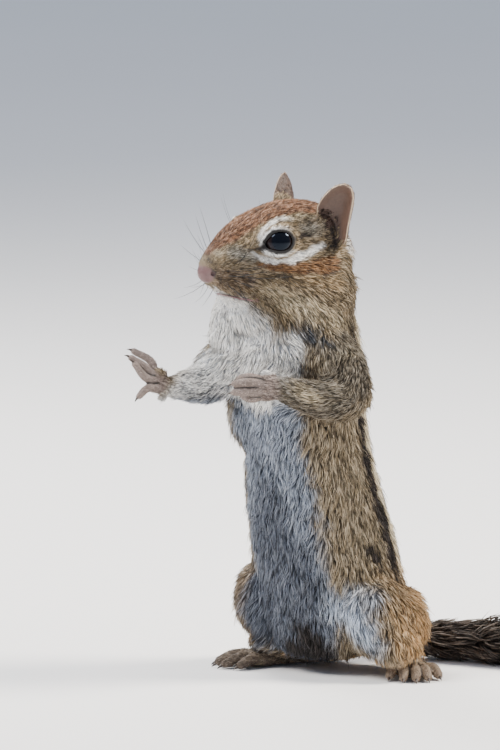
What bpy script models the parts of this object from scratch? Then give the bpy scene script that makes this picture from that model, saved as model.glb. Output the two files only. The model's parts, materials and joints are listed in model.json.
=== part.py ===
"""An eastern chipmunk standing upright with both forepaws raised: a still model at life size.

The flesh is modelled whole, as rounded forms fused into one surface, and is then parted into the
nodes that a person would name, with a thin gap between neighbours. All sizes and places below are
real millimetres in the animal's own frame: the chest faces -Y, the animal's left is +X and the
floor is z = 0. Each mesh is made in metres, and the finished solids are moved together so that the
part's own origin lies on the floor under the middle of the whole animal.
"""
import math

import bmesh
import bpy
from mathutils import Matrix, Vector

MM = 0.001
GAP = 0.3

# Triangles that each surface is reduced to.
BODY_TRIANGLES = 3700
HEAD_TRIANGLES = 3050
PAW_TRIANGLES = 590
REGION_TRIANGLES = 220

# Torso: height, centre x, centre y, half width, half depth.
TORSO = (
    (4.0, -5.0, 9.5, 7.0, 8.0),
    (6.0, -5.4, 10.0, 13.0, 13.5),
    (12.0, -6.0, 10.2, 18.2, 17.0),
    (20.0, -5.6, 9.8, 20.4, 19.0),
    (35.0, -6.5, 6.8, 19.7, 19.2),
    (47.0, -7.8, 4.7, 18.5, 18.4),
    (60.0, -9.2, 3.0, 17.2, 17.2),
    (70.0, -10.0, 2.0, 17.0, 17.2),
    (80.0, -10.9, 1.1, 17.6, 17.6),
    (90.0, -11.2, 0.4, 17.4, 17.0),
    (98.0, -10.8, 0.1, 16.0, 15.5),
    (106.0, -10.0, 1.5, 14.5, 14.0),
    (114.0, -9.4, 3.0, 11.0, 11.0),
    (117.0, -9.2, 3.4, 5.0, 5.0),
)
CHEST = ((-13.5, -4.5, 91.0), (13.0, 12.0, 13.0))
FLANK = ((-18.2, -1.6, 71.5), (11.4, 11.4, 14.0))

# Head, in its own frame: forward, to its left and up from the point midway between the ears.
HEAD_CENTRE = Vector((-8.9, 3.8, 116.2))
HEAD_TURN = math.radians(27.0)
# Skull and muzzle: forward, height of the centre, half width, half height.
SKULL = (
    (-10.6, -4.0, 3.0, 3.4),
    (-9.6, -3.8, 6.4, 7.2),
    (-6.5, -3.2, 9.8, 11.6),
    (-1.0, -2.4, 12.0, 14.0),
    (5.0, -2.0, 12.6, 14.7),
    (12.0, -2.2, 12.0, 14.4),
    (18.0, -2.6, 10.6, 13.0),
    (23.0, -3.0, 8.6, 11.2),
    (27.0, -3.4, 6.6, 8.9),
    (30.0, -4.0, 5.0, 6.5),
    (32.4, -4.4, 3.6, 4.2),
    (34.0, -4.7, 1.6, 1.9),
)
CHEEK = ((6.5, 6.6, -7.6), (12.5, 8.0, 8.6))
JAW = ((18.4, 0.0, -11.4), (10.2, 6.8, 5.6))
THROAT = ((13.6, 0.0, -17.4), (11.4, 9.4, 8.4))
WHISKER_PAD = ((26.8, 3.0, -7.0), (4.8, 3.6, 4.6))
EAR_BASE = ((0.0, 9.6, 6.0), (5.0, 4.0, 6.5))
NOSE_PAD = ((32.3, 0.0, -5.6), (2.4, 2.5, 2.9))
NOSTRIL = ((33.6, 2.0, -5.6), (1.0, 0.6, 0.8))
PHILTRUM = ((31.8, 0.0, -9.4), (1.5, 0.35, 2.0))
MOUTH_LINE = ((28.2, 0.0, -11.3), (27.2, 2.4, -11.6), (24.4, 4.7, -12.3), (20.4, 6.4, -12.9))
MOUTH_OPENING = 0.5
LIP_RADIUS = 0.6
LIP_INSET = 0.5

EYE_CENTRE = (15.2, 9.4, 2.7)
EYE_RADIUS = 4.1
EYE_AXIS = (0.34, 0.93, 0.12)
LID_RADIUS = 0.62
LID_ANGLE = 59.0
LID_CORNER_ANGLE = 82.0
LID_CORNER_WIDTH = 24.0
LID_CORNER_DROP = -17.0

# Ear: across its face (towards the back) and up from the notch, in its own plane.
# Left and right ear: degrees from straight ahead to the way that it faces, its lean forwards and
# outwards and its root in the head's frame.
EAR_SET = (
    (46.0, (-0.04, 0.10), (0.0, 13.0, 0.0)),
    (52.0, (-0.11, 0.08), (2.0, 13.8, 0.0)),
)
EAR_OUTLINE = (
    (0.2, -2.0), (2.8, 1.2), (3.2, 6.0), (3.7, 10.5), (4.0, 14.0), (3.2, 16.6), (1.0, 17.8),
    (-1.8, 16.9), (-4.2, 14.6), (-6.0, 11.4), (-5.7, 7.0), (-4.2, 3.0), (-2.2, -0.8),
)
EAR_MIDDLE = (-0.6, 8.2)
EAR_CUP = 3.4
EAR_THICKNESS = 1.15
CONCHA = ((0.2, 4.2, 1.6), (3.2, 7.4, 3.4))

# Neck planes, both in the head's frame: a point, and the direction towards the head.
HEAD_PLANE = ((1.0, 0.0, -14.2), (0.50, 0.0, 0.87))
NECK_PLANE = ((0.0, 0.0, -22.6), (0.16, 0.0, 0.99))

# Forelegs: joints with radii, from the shoulder to the wrist.
LEFT_FORELEG = (
    ((-3.0, -3.4, 91.5), 8.6), ((4.6, -4.6, 85.5), 7.9), ((9.8, -6.4, 77.6), 6.4),
    ((7.2, -13.0, 76.8), 5.5), ((2.6, -18.0, 78.4), 4.4), ((-1.0, -21.8, 80.2), 3.4),
    ((-3.4, -23.6, 80.4), 3.1),
)
RIGHT_SHOULDER = ((-22.2, -6.8, 93.2), (10.1, 10.6, 15.2))
RIGHT_FORELEG = (
    ((-19.0, -3.0, 92.0), 9.0), ((-25.0, -9.0, 86.5), 8.4), ((-28.0, -14.5, 80.8), 6.8),
    ((-29.0, -21.0, 79.4), 5.2), ((-30.2, -27.5, 79.4), 3.7), ((-31.0, -32.0, 79.9), 2.8),
    ((-31.4, -34.0, 80.4), 2.7),
)
# What counts as foreleg when the flesh is parted: wider limbs about the same joints.
LEFT_FORELEG_REACH = (
    ((4.0, -5.2, 87.5), 9.2), ((10.6, -6.4, 77.6), 9.4), ((6.4, -14.0, 77.0), 8.4),
    ((1.0, -19.6, 79.0), 6.6), ((-6.0, -25.6, 80.2), 6.0),
)
RIGHT_FORELEG_REACH = (
    ((-26.0, -10.0, 87.5), 9.6), ((-28.0, -14.5, 80.8), 9.4), ((-29.0, -21.0, 79.4), 7.8),
    ((-30.2, -27.5, 79.4), 6.6), ((-31.6, -37.0, 80.2), 6.0),
)

# Left forepaw: its frame runs along the fingers, up and out of the back of the paw.
LEFT_WRIST = Vector((-1.0, -21.8, 80.5))
LEFT_PAW_ALONG = Vector((-0.81, -0.586, 0.0))
LEFT_PALM = ((4.4, -0.1, -0.5), (5.6, 3.5, 2.4))
LEFT_FINGERS = (
    ((5.5, 2.3, -0.6), (9.2, 2.9, -1.2), (11.6, 2.2, -3.4)),
    ((6.0, 1.5, 0.2), (10.2, 1.7, 0.6), (12.9, 1.2, -0.6)),
    ((6.0, -0.8, 0.2), (10.2, -1.0, 0.6), (13.0, -1.2, -0.6)),
    ((5.0, -2.2, -0.6), (8.4, -3.0, -1.0), (10.2, -2.8, -3.2)),
)
LEFT_THUMB = ((2.4, 2.6, -1.6), (4.4, 3.4, -3.0))
# Right forepaw: joints of each finger, from the palm to the tip.
RIGHT_WRIST = Vector((-31.2, -33.0, 80.1))
RIGHT_PAW_ALONG = Vector((-0.42, -0.86, 0.30))
RIGHT_PALM = ((-32.6, -34.6, 81.6), (2.9, 3.4, 3.4))
RIGHT_FINGERS = (
    ((-33.4, -34.4, 83.2), (-35.4, -34.2, 86.8), (-39.2, -36.2, 89.2)),
    ((-32.8, -36.0, 82.8), (-35.0, -37.2, 85.4), (-38.2, -39.0, 87.8)),
    ((-32.4, -36.6, 81.6), (-34.0, -39.0, 83.0), (-36.0, -40.6, 86.4)),
    ((-31.0, -36.0, 79.8), (-33.0, -39.2, 80.0), (-34.2, -41.2, 78.2)),
)
RIGHT_THUMB = ((-29.6, -35.0, 79.0), (-29.6, -37.0, 77.6))
FINGER_RADIUS = 1.15
THUMB_RADIUS = 1.2

# Hind legs: haunch, knee and shin as rounded masses (centre, radii along the foot, across, up).
LEFT_HAUNCH = (
    ((11.2, 12.2, 14.2), (16.4, 10.4, 11.0)),
    ((11.6, 3.6, 17.4), (10.4, 9.0, 11.4)),
    ((17.4, 5.4, 9.6), (10.4, 7.0, 7.6)),
)
RIGHT_HAUNCH = (
    ((-19.4, 12.4, 16.8), (16.2, 10.6, 11.8)),
    ((-20.2, 3.0, 19.6), (10.4, 9.2, 11.8)),
    ((-19.6, 6.4, 9.6), (9.4, 6.6, 7.4)),
)
HAUNCH_REACH = 0.9

# Hind feet: heel on the floor, direction of the toes and side on which the outer toe lies.
LEFT_HEEL = Vector((8.2, 27.4, 0.0))
LEFT_FOOT_ALONG = Vector((0.54, -0.84, 0.0))
RIGHT_HEEL = Vector((-11.8, 20.0, 0.0))
RIGHT_FOOT_ALONG = Vector((-0.6, -0.8, 0.0))
SOLE = (
    ((0.0, 0.0, 2.5), 2.7), ((7.0, 0.0, 2.5), 2.8), ((15.0, 0.2, 2.6), 3.1), ((21.0, 0.5, 2.5), 3.2),
)
BALL = ((21.5, 0.4, 2.2), (5.2, 5.4, 2.5))
TOES = (
    ((21.0, -3.6, 2.2), (25.4, -4.8, 2.7), (28.8, -5.6, 1.4)),
    ((22.5, -1.6, 2.4), (27.6, -2.0, 3.0), (31.8, -2.0, 1.4)),
    ((22.5, 0.8, 2.4), (28.0, 1.2, 3.0), (32.2, 1.4, 1.4)),
    ((22.0, 3.0, 2.4), (27.0, 3.9, 2.9), (31.0, 4.6, 1.4)),
    ((20.5, 4.4, 2.2), (24.0, 6.2, 2.6), (27.4, 7.4, 1.4)),
)
TOE_RADIUS = 1.5
# What counts as foot: distance forward of the heel and half width there, up to a height.
FOOT_REACH = ((-5.0, 3.8), (13.0, 4.6), (22.0, 9.4), (38.0, 10.4))
FOOT_HEIGHT = 5.6
CLAW_LENGTH = 2.4
CLAW_RADIUS = 0.5

# Tail: its line along the floor with the radius of the brush.
TAIL = (
    ((-5.0, 18.0, 14.0), 5.5), ((-3.6, 26.0, 10.0), 4.8), ((1.0, 33.0, 7.0), 4.6),
    ((9.0, 38.5, 5.6), 5.0), ((20.0, 41.0, 5.8), 5.9), ((32.0, 41.5, 6.0), 6.4),
    ((45.0, 42.5, 5.9), 6.4), ((57.0, 45.5, 5.6), 6.2), ((69.0, 51.0, 5.0), 5.6),
    ((78.0, 58.0, 4.0), 4.6), ((84.0, 65.0, 3.0), 3.0),
)
# Brush: locks in staggered rows; each starts on the core and its tip lies at the brush's radius.
TAIL_CORE = 0.48
LOCK_ROWS = 8
LOCKS_ROUND = 5
LOCK_FIRST = 1.4
LOCK_LENGTH = 18.5
LOCK_HALF_WIDTH = 3.9
LOCK_HALF_THICKNESS = 0.5
TAIL_BRUSH_PLANE = ((6.0, 36.8, 6.4), (0.82, 0.57, 0.0))

FUR_BROWN = (0.33, 0.20, 0.10, 1.0)
FUR_TAN = (0.36, 0.25, 0.14, 1.0)
FUR_RUFOUS = (0.42, 0.18, 0.06, 1.0)
FUR_GREY = (0.22, 0.18, 0.13, 1.0)
PAW_TAN = (0.42, 0.26, 0.17, 1.0)
EAR_SKIN = (0.38, 0.22, 0.16, 1.0)
EYE_BLACK = (0.006, 0.006, 0.008, 1.0)

WORKSHOP = bpy.data.collections.new("workshop")
FINISHED = bpy.data.collections.new("chipmunk")


def clear_scene():
    """Empty the scene and make the two collections that hold the work."""
    for item in list(bpy.data.objects):
        bpy.data.objects.remove(item, do_unlink=True)
    bpy.context.scene.collection.children.link(WORKSHOP)
    bpy.context.scene.collection.children.link(FINISHED)


def new_object(name, mesh):
    """Put a mesh in the workshop under a name."""
    item = bpy.data.objects.new(name, mesh)
    WORKSHOP.objects.link(item)
    return item


def mesh_from(name, build):
    """Make an object from a function that fills a bmesh in millimetres."""
    work = bmesh.new()
    build(work)
    bmesh.ops.scale(work, vec=(MM, MM, MM), verts=work.verts)
    bmesh.ops.recalc_face_normals(work, faces=work.faces)
    mesh = bpy.data.meshes.new(name)
    work.to_mesh(mesh)
    work.free()
    return new_object(name, mesh)


def finish_modifiers(item):
    """Apply every modifier of an object, and give it the plain mesh that results."""
    graph = bpy.context.evaluated_depsgraph_get()
    mesh = bpy.data.meshes.new_from_object(item.evaluated_get(graph))
    item.modifiers.clear()
    old = item.data
    item.data = mesh
    bpy.data.meshes.remove(old)
    return item


def copy_of(item, name):
    """A workshop copy with a mesh of its own."""
    return new_object(name, item.data.copy())


def discard(*items):
    """Remove objects that have done their work."""
    for item in items:
        bpy.data.objects.remove(item, do_unlink=True)


def smooth_line(joints, steps=5):
    """Points and radii along a smooth curve through ((x, y, z), radius) joints."""
    rows = [Vector((*place, radius)) for place, radius in joints]
    rows = [rows[0] * 2 - rows[1]] + rows + [rows[-1] * 2 - rows[-2]]
    line = []
    for first, second, third, fourth in zip(rows, rows[1:], rows[2:], rows[3:]):
        for step in range(steps):
            t = step / steps
            line.append(0.5 * (
                2 * second + (third - first) * t
                + (2 * first - 5 * second + 4 * third - fourth) * t * t
                + (3 * second - 3 * third + fourth - first) * t * t * t
            ))
    line.append(rows[-2])
    return [(row.xyz, row.w) for row in line]


def rounded_ends(line, rings=3):
    """Close a line of (point, radius) with round caps at both ends."""
    caps = []
    for end, inner in ((line[0], line[1]), (line[-1], line[-2])):
        outward = (end[0] - inner[0]).normalized()
        cap = []
        for ring in range(1, rings + 1):
            angle = 0.5 * math.pi * ring / (rings + 0.35)
            cap.append((end[0] + outward * end[1] * math.sin(angle), end[1] * math.cos(angle)))
        caps.append(cap)
    return caps[0][::-1] + line + caps[1]


def limb(name, joints, resolution=5, steps=5):
    """A round limb through its joints: a curve with a bevel, made a mesh with welded caps."""
    line = rounded_ends(smooth_line(joints, steps))
    curve = bpy.data.curves.new(name, "CURVE")
    curve.dimensions = "3D"
    curve.bevel_depth = MM
    curve.bevel_resolution = resolution
    curve.use_fill_caps = True
    spline = curve.splines.new("POLY")
    spline.points.add(len(line) - 1)
    for point, (place, radius) in zip(spline.points, line):
        point.co = (*(place * MM), 1.0)
        point.radius = radius
    guide = new_object(name, curve)
    graph = bpy.context.evaluated_depsgraph_get()
    mesh = bpy.data.meshes.new_from_object(guide.evaluated_get(graph))
    discard(guide)
    bpy.data.curves.remove(curve)
    work = bmesh.new()
    work.from_mesh(mesh)
    bmesh.ops.remove_doubles(work, verts=work.verts, dist=0.00001)
    bmesh.ops.recalc_face_normals(work, faces=work.faces)
    work.to_mesh(mesh)
    work.free()
    return new_object(name, mesh)


def ball(name, centre, radii, turn=None, segments=24, rings=14):
    """An ellipsoid with its radii along its own axes, turned by a 3 x 3 matrix."""
    def build(work):
        size = Matrix.Diagonal((*radii, 1.0))
        turned = turn.to_4x4() if turn else Matrix.Identity(4)
        place = Matrix.Translation(centre) @ turned @ size
        bmesh.ops.create_uvsphere(
            work, u_segments=segments, v_segments=rings, radius=1.0, matrix=place)
    return mesh_from(name, build)


def loft(name, rings):
    """A closed skin through rings of points, which all have the same number of points."""
    def build(work):
        loops = [[work.verts.new(point) for point in ring] for ring in rings]
        for below, above in zip(loops, loops[1:]):
            for index in range(len(below)):
                after = (index + 1) % len(below)
                work.faces.new((below[index], below[after], above[after], above[index]))
        work.faces.new(loops[0][::-1])
        work.faces.new(loops[-1])
    return mesh_from(name, build)


def smooth_rows(rows, steps):
    """More rows of numbers along a smooth curve through the given ones."""
    joints = [(Vector((row[0], row[1], row[2])), 0.0) for row in rows]
    first = smooth_line(joints, steps)
    rest = [(Vector((row[-2], row[-1], 0.0)), 0.0) for row in rows]
    second = smooth_line(rest, steps)
    if len(rows[0]) == 5:
        return [(*a[0], b[0].x, b[0].y) for a, b in zip(first, second)]
    return [(a[0].x, a[0].y, b[0].x, b[0].y) for a, b in zip(first, second)]


def head_turn():
    """The head's forward, left and up as the columns of a matrix."""
    forward = Vector((-math.sin(HEAD_TURN), -math.cos(HEAD_TURN), 0.0))
    left = Vector((math.cos(HEAD_TURN), -math.sin(HEAD_TURN), 0.0))
    return Matrix((forward, left, Vector((0.0, 0.0, 1.0)))).transposed()


def in_head(place, side=1.0):
    """A point of the head's frame in the animal's frame; side -1 is the right half."""
    forward, left, up = place
    return HEAD_CENTRE + head_turn() @ Vector((forward, left * side, up))


def paw_frame(origin, along, side):
    """A frame with x along the digits, y to the outer side and z up."""
    across = Vector((0.0, 0.0, 1.0)).cross(along).normalized() * side
    axes = Matrix((along.normalized(), across, Vector((0.0, 0.0, 1.0)))).transposed()
    return Matrix.Translation(origin) @ axes.to_4x4()


def half_space(name, point, direction, back=0.0):
    """A large block whose one face lies on a plane; direction points into it."""
    toward = Vector(direction).normalized()
    turn = toward.to_track_quat("Z", "Y").to_matrix().to_4x4()
    place = Matrix.Translation(Vector(point) + toward * (150.0 - back)) @ turn

    def build(work):
        bmesh.ops.create_cube(work, size=300.0, matrix=place)
    return mesh_from(name, build)


def joined(name, items):
    """Several workshop objects as one mesh."""
    work = bmesh.new()
    for item in items:
        work.from_mesh(item.data)
    mesh = bpy.data.meshes.new(name)
    work.to_mesh(mesh)
    work.free()
    discard(*items)
    return new_object(name, mesh)


def fused(name, items, voxel, rounds):
    """One smooth closed surface round overlapping forms."""
    item = joined(name, items)
    remesh = item.modifiers.new("fuse", "REMESH")
    remesh.mode = "VOXEL"
    remesh.voxel_size = voxel * MM
    soften = item.modifiers.new("soften", "SMOOTH")
    soften.factor = 0.5
    soften.iterations = rounds
    return finish_modifiers(item)


def reduced(item, triangles):
    """The same surface with about the given number of triangles."""
    faces = item.modifiers.new("faces", "TRIANGULATE")
    faces.min_vertices = 4
    finish_modifiers(item)
    fewer = item.modifiers.new("fewer", "DECIMATE")
    fewer.ratio = min(1.0, triangles / max(1, len(item.data.polygons)))
    return finish_modifiers(item)


def grown(item, name, distance=GAP):
    """A copy whose surface stands further out."""
    copy = copy_of(item, name)
    swell = copy.modifiers.new("swell", "DISPLACE")
    swell.mid_level = 0.0
    swell.strength = distance * MM
    return finish_modifiers(copy)


def largest_surface(item):
    """Keep an object's largest closed surface, as triangles."""
    work = bmesh.new()
    work.from_mesh(item.data)
    bmesh.ops.remove_doubles(work, verts=work.verts, dist=0.000001)
    bmesh.ops.dissolve_degenerate(work, edges=work.edges, dist=0.000001)
    bmesh.ops.triangulate(work, faces=work.faces)
    unseen = set(work.faces)
    best = []
    while unseen:
        group = [unseen.pop()]
        for face in group:
            for edge in face.edges:
                if len(edge.link_faces) != 2:
                    continue
                for other in edge.link_faces:
                    if other in unseen:
                        unseen.remove(other)
                        group.append(other)
        if len(group) > len(best):
            best = group
    kept = set(best)
    bmesh.ops.delete(work, geom=[face for face in work.faces if face not in kept], context="FACES")
    work.to_mesh(item.data)
    work.free()
    return item


def combined(item, cutter, operation):
    """Apply one Boolean of a cutter on an object; the cutter stays."""
    cutter.hide_render = True
    cutter.display_type = "WIRE"
    change = item.modifiers.new("cut", "BOOLEAN")
    change.operation = operation
    change.object = cutter
    change.solver = "EXACT"
    return finish_modifiers(item)


def cut_away(item, *cutters):
    """Take cutters out of an object."""
    for cutter in cutters:
        combined(item, cutter, "DIFFERENCE")
    return item


def kept_inside(item, *regions):
    """Keep what lies inside every region."""
    for region in regions:
        combined(item, region, "INTERSECT")
    return item


def material(name, colour, roughness):
    """A plain Principled material."""
    made = bpy.data.materials.new(name)
    made.use_nodes = True
    surface = made.node_tree.nodes["Principled BSDF"]
    surface.inputs["Base Color"].default_value = colour
    surface.inputs["Roughness"].default_value = roughness
    surface.inputs["Metallic"].default_value = 0.0
    made.diffuse_color = colour
    return made


def finished(item, name, colour, roughness=0.8):
    """Give a node its name, material and place, and move it to the finished collection."""
    largest_surface(item)
    item.name = name
    item.data.name = name
    item.data.materials.clear()
    item.data.materials.append(material(name, colour, roughness))
    item.data.shade_smooth()
    item.data.set_sharp_from_angle(angle=math.radians(40.0))
    WORKSHOP.objects.unlink(item)
    FINISHED.objects.link(item)
    return item


def torso_form():
    """The trunk from the rump to the nape, an ellipse at each height."""
    rings = []
    for height, x, y, half_width, half_depth in smooth_rows(TORSO, 3):
        ring = []
        for index in range(28):
            angle = 2.0 * math.pi * index / 28
            ring.append(
                (x + half_width * math.cos(angle), y + half_depth * math.sin(angle), height))
        rings.append(ring)
    return loft("torso_form", rings)


def skull_form():
    """Skull and muzzle, an ellipse at each station from the nape to the nose."""
    rings = []
    for forward, up, half_width, half_height in smooth_rows(SKULL, 3):
        ring = []
        for index in range(28):
            angle = 2.0 * math.pi * index / 28
            ring.append(in_head(
                (forward, half_width * math.cos(angle), up + half_height * math.sin(angle))))
        rings.append(ring)
    return loft("skull_form", rings)


def head_ball(name, form, side=1.0, segments=20, rings=12):
    """An ellipsoid given in the head's frame."""
    centre, radii = form
    return ball(name, in_head(centre, side), radii, head_turn(), segments, rings)


def lid_ring(side):
    """The rim of both lids, a closed line on the eyeball that runs to a corner in front."""
    axis = Vector((EYE_AXIS[0], EYE_AXIS[1] * side, EYE_AXIS[2])).normalized()
    upward = (Vector((0.0, 0.0, 1.0)) - axis * axis.z).normalized()
    forward = upward.cross(axis) * side
    if forward.x < 0.0:
        forward = -forward
    centre = Vector((EYE_CENTRE[0], EYE_CENTRE[1] * side, EYE_CENTRE[2]))
    joints = []
    for index in range(25):
        angle = 15.0 * index
        away = (angle - LID_CORNER_DROP + 180.0) % 360.0 - 180.0
        corner = math.exp(-(away / LID_CORNER_WIDTH) ** 2)
        tilt = math.radians(LID_ANGLE + (LID_CORNER_ANGLE - LID_ANGLE) * corner)
        turn = math.radians(angle)
        across = forward * math.cos(turn) + upward * math.sin(turn)
        place = centre + (axis * math.cos(tilt) + across * math.sin(tilt)) * (EYE_RADIUS + 0.25)
        joints.append((HEAD_CENTRE + head_turn() @ place, LID_RADIUS))
    return limb("lid_ring", joints, 3, 2)


def mouth_path(lift=0.0, inward=0.0):
    """The line of the mouth from the left corner round the front to the right corner."""
    left = [(forward, side - inward * (side > 0.0), up + lift) for forward, side, up in MOUTH_LINE]
    right = [(forward, -side, up) for forward, side, up in left[:0:-1]]
    return [HEAD_CENTRE + head_turn() @ Vector(place) for place in right + left]


def mouth_cutter():
    """The thin slit between the lips: a ribbon with a thickness."""
    outer = smooth_line([(place, 0.0) for place in mouth_path()], 4)
    middle = in_head((16.0, 0.0, -12.6))

    def build(work):
        rows = []
        for place, _ in outer:
            toward = (middle - place).normalized()
            rows.append((work.verts.new(place - toward * 2.0), work.verts.new(place + toward * 1.4)))
        for first, second in zip(rows, rows[1:]):
            work.faces.new((first[0], first[1], second[1], second[0]))
    item = mesh_from("mouth_cutter", build)
    thicken = item.modifiers.new("thicken", "SOLIDIFY")
    thicken.thickness = MOUTH_OPENING * MM
    thicken.offset = 0.0
    return finish_modifiers(item)


def lip(lift):
    """A soft roll along the mouth, thinner at its corners."""
    path = mouth_path(lift, LIP_INSET)
    middle = (len(path) - 1) / 2.0
    joints = []
    for index, place in enumerate(path):
        joints.append((place, LIP_RADIUS * (1.0 - 0.5 * abs(index - middle) / middle)))
    return limb("lip", joints, 3, 3)


def head_forms():
    """The broad forms of the head."""
    items = [skull_form(), head_ball("jaw", JAW), head_ball("throat", THROAT)]
    for side in (1.0, -1.0):
        items.append(head_ball("cheek", CHEEK, side))
        items.append(head_ball("whisker_pad", WHISKER_PAD, side))
        items.append(head_ball("ear_base", EAR_BASE, side))
    return items


def head_details():
    """Lids, lips and the nose, which keep their edges."""
    items = [head_ball("nose_pad", NOSE_PAD), lip(0.9), lip(-1.0)]
    for side in (1.0, -1.0):
        items.append(lid_ring(side))
    return items


def trunk_forms():
    """Trunk, chest and the raised right shoulder."""
    balls = [ball(*form) for form in (
        ("chest", *CHEST), ("shoulder", *RIGHT_SHOULDER), ("flank", *FLANK))]
    return [torso_form()] + balls


def haunch_forms(haunch, along, extra=0.0):
    """The masses of one hind leg, their length along the foot."""
    turn = paw_frame(Vector(), along, 1.0).to_3x3()
    return [ball("haunch", centre, [radius + extra for radius in radii], turn)
            for centre, radii in haunch]


def body_forms():
    """Trunk and haunches with the forelegs and the tail."""
    items = trunk_forms()
    items += haunch_forms(LEFT_HAUNCH, LEFT_FOOT_ALONG)
    items += haunch_forms(RIGHT_HAUNCH, RIGHT_FOOT_ALONG)
    items.append(limb("left_foreleg", LEFT_FORELEG))
    items.append(limb("right_foreleg", RIGHT_FORELEG))
    items.append(limb("tail_form", TAIL[:6]))
    return items


def along_line(line, distance):
    """Centre, direction and radius at a distance along a line of (point, radius)."""
    for (start, first), (end, second) in zip(line, line[1:]):
        step = (end - start).length
        if distance <= step or end is line[-1][0]:
            t = distance / step
            radius = first + (second - first) * min(t, 1.4)
            return start.lerp(end, t), (end - start).normalized(), radius
        distance -= step
    return None


def tail_lock(line, start, angle, length):
    """One flat lock of the brush: wide where it leaves the core, and tapering to its tip."""
    stations = (
        (0.0, TAIL_CORE - 0.22, 0.6), (0.26, 0.70, 1.0), (0.62, 0.92, 0.72), (1.0, 1.0, 0.0),
    )
    rings = []
    for along, out, width in stations:
        centre, direction, radius = along_line(line, start + length * along)
        side = direction.cross(Vector((0.0, 0.0, 1.0))).normalized()
        upward = side.cross(direction)
        normal = side * math.cos(angle) + upward * math.sin(angle)
        across = direction.cross(normal) * LOCK_HALF_WIDTH * width
        thick = normal * LOCK_HALF_THICKNESS * max(width, 0.75)
        place = centre + normal * radius * out
        if width > 0.0:
            rings.append((place - across, place + thick, place + across, place - thick))
        else:
            tip = place

    def build(work):
        loops = [[work.verts.new(point) for point in ring] for ring in rings]
        end = work.verts.new(tip)
        work.faces.new(loops[0][::-1])
        for below, above in zip(loops, loops[1:]):
            for index in range(4):
                after = (index + 1) % 4
                work.faces.new((below[index], below[after], above[after], above[index]))
        for index in range(4):
            work.faces.new((loops[-1][index], loops[-1][(index + 1) % 4], end))
    return mesh_from("lock", build)


def tail_brush():
    """The brush of the tail: a thin core under staggered rows of overlapping locks."""
    joints = TAIL[2:]
    core = [(place, radius * max(TAIL_CORE, 0.98 - 0.26 * index))
            for index, (place, radius) in enumerate(joints)]
    brush = limb("tail", core, 2, 2)
    line = smooth_line(joints, 6)
    _, toward = TAIL_BRUSH_PLANE
    total = sum((after[0] - before[0]).length for before, after in zip(line, line[1:]))
    plane_point = Vector(TAIL_BRUSH_PLANE[0])
    begin = (plane_point - line[0][0]).length + LOCK_FIRST
    spacing = (total - begin - LOCK_LENGTH * 0.62) / (LOCK_ROWS - 1)
    locks = bpy.data.collections.new("locks")
    for row in range(LOCK_ROWS):
        for place in range(LOCKS_ROUND):
            turn = 2.0 * math.pi * (place + 0.5 * (row % 2)) / LOCKS_ROUND
            stagger = spacing * 0.3 * math.sin(2.4 * place + 1.7 * row)
            length = LOCK_LENGTH * (1.0 - 0.18 * row / LOCK_ROWS)
            lock = tail_lock(line, max(begin, begin + spacing * row + stagger), turn, length)
            WORKSHOP.objects.unlink(lock)
            locks.objects.link(lock)
    union = brush.modifiers.new("locks", "BOOLEAN")
    union.operation = "UNION"
    union.operand_type = "COLLECTION"
    union.collection = locks
    union.solver = "MANIFOLD"
    finish_modifiers(brush)
    discard(*locks.objects)
    bpy.data.collections.remove(locks)
    return brush


def claw(place, along, down=0.55):
    """A short hooked claw at the end of a digit."""
    along = along.normalized()
    fall = Vector((0.0, 0.0, -down))
    joints = (
        (place - along * 0.8, CLAW_RADIUS),
        (place + along * CLAW_LENGTH * 0.35, CLAW_RADIUS * 0.85),
        (place + along * CLAW_LENGTH * 0.75 + fall * 0.5, CLAW_RADIUS * 0.55),
        (place + along * CLAW_LENGTH + fall * 1.4, CLAW_RADIUS * 0.25),
    )
    return limb("claw", joints, 2, 2)


def digit(points, radius):
    """One finger or toe with its claw, through three points from its root to its tip."""
    root, knuckle, tip = points
    joints = ((root, radius), (knuckle, radius * 1.02), (tip, radius * 0.86))
    along = (tip - knuckle).normalized()
    return [limb("digit", joints, 3, 4), claw(tip + along * radius * 0.5, along)]


def left_paw_forms():
    """The left forepaw, seen from its back, with two fingers forward and two curled under."""
    frame = Matrix.Translation(LEFT_WRIST) @ Matrix((
        LEFT_PAW_ALONG, Vector((0.0, 0.0, 1.0)), LEFT_PAW_ALONG.cross(Vector((0.0, 0.0, 1.0))) * -1.0,
    )).transposed().to_4x4()
    centre, radii = LEFT_PALM
    items = [ball("palm", frame @ Vector(centre), radii, frame.to_3x3())]
    items.append(limb("wrist", LEFT_FORELEG[-4:]))
    for points in LEFT_FINGERS:
        items += digit([frame @ Vector(point) for point in points], FINGER_RADIUS)
    thumb = [(frame @ Vector(point), THUMB_RADIUS) for point in LEFT_THUMB]
    items.append(limb("thumb", thumb, 3, 2))
    return items


def right_paw_forms():
    """The right forepaw, its palm turned forward and its fingers fanned."""
    centre, radii = RIGHT_PALM
    items = [ball("palm", centre, radii)]
    items.append(limb("wrist", RIGHT_FORELEG[-4:]))
    for points in RIGHT_FINGERS:
        items += digit([Vector(point) for point in points], FINGER_RADIUS)
    thumb = [(Vector(point), THUMB_RADIUS) for point in RIGHT_THUMB]
    items.append(limb("thumb", thumb, 3, 2))
    return items


def foot_forms(heel, along, side, haunch):
    """A hind foot flat on the floor, with the leg above it."""
    frame = paw_frame(heel, along, side)
    sole = [(frame @ Vector(place), radius) for place, radius in SOLE]
    centre, radii = BALL
    items = [limb("sole", sole), ball("ball", frame @ Vector(centre), radii, frame.to_3x3())]
    for points in TOES:
        items += digit([frame @ Vector(point) for point in points], TOE_RADIUS)
    return items + haunch_forms(haunch, along)


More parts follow.
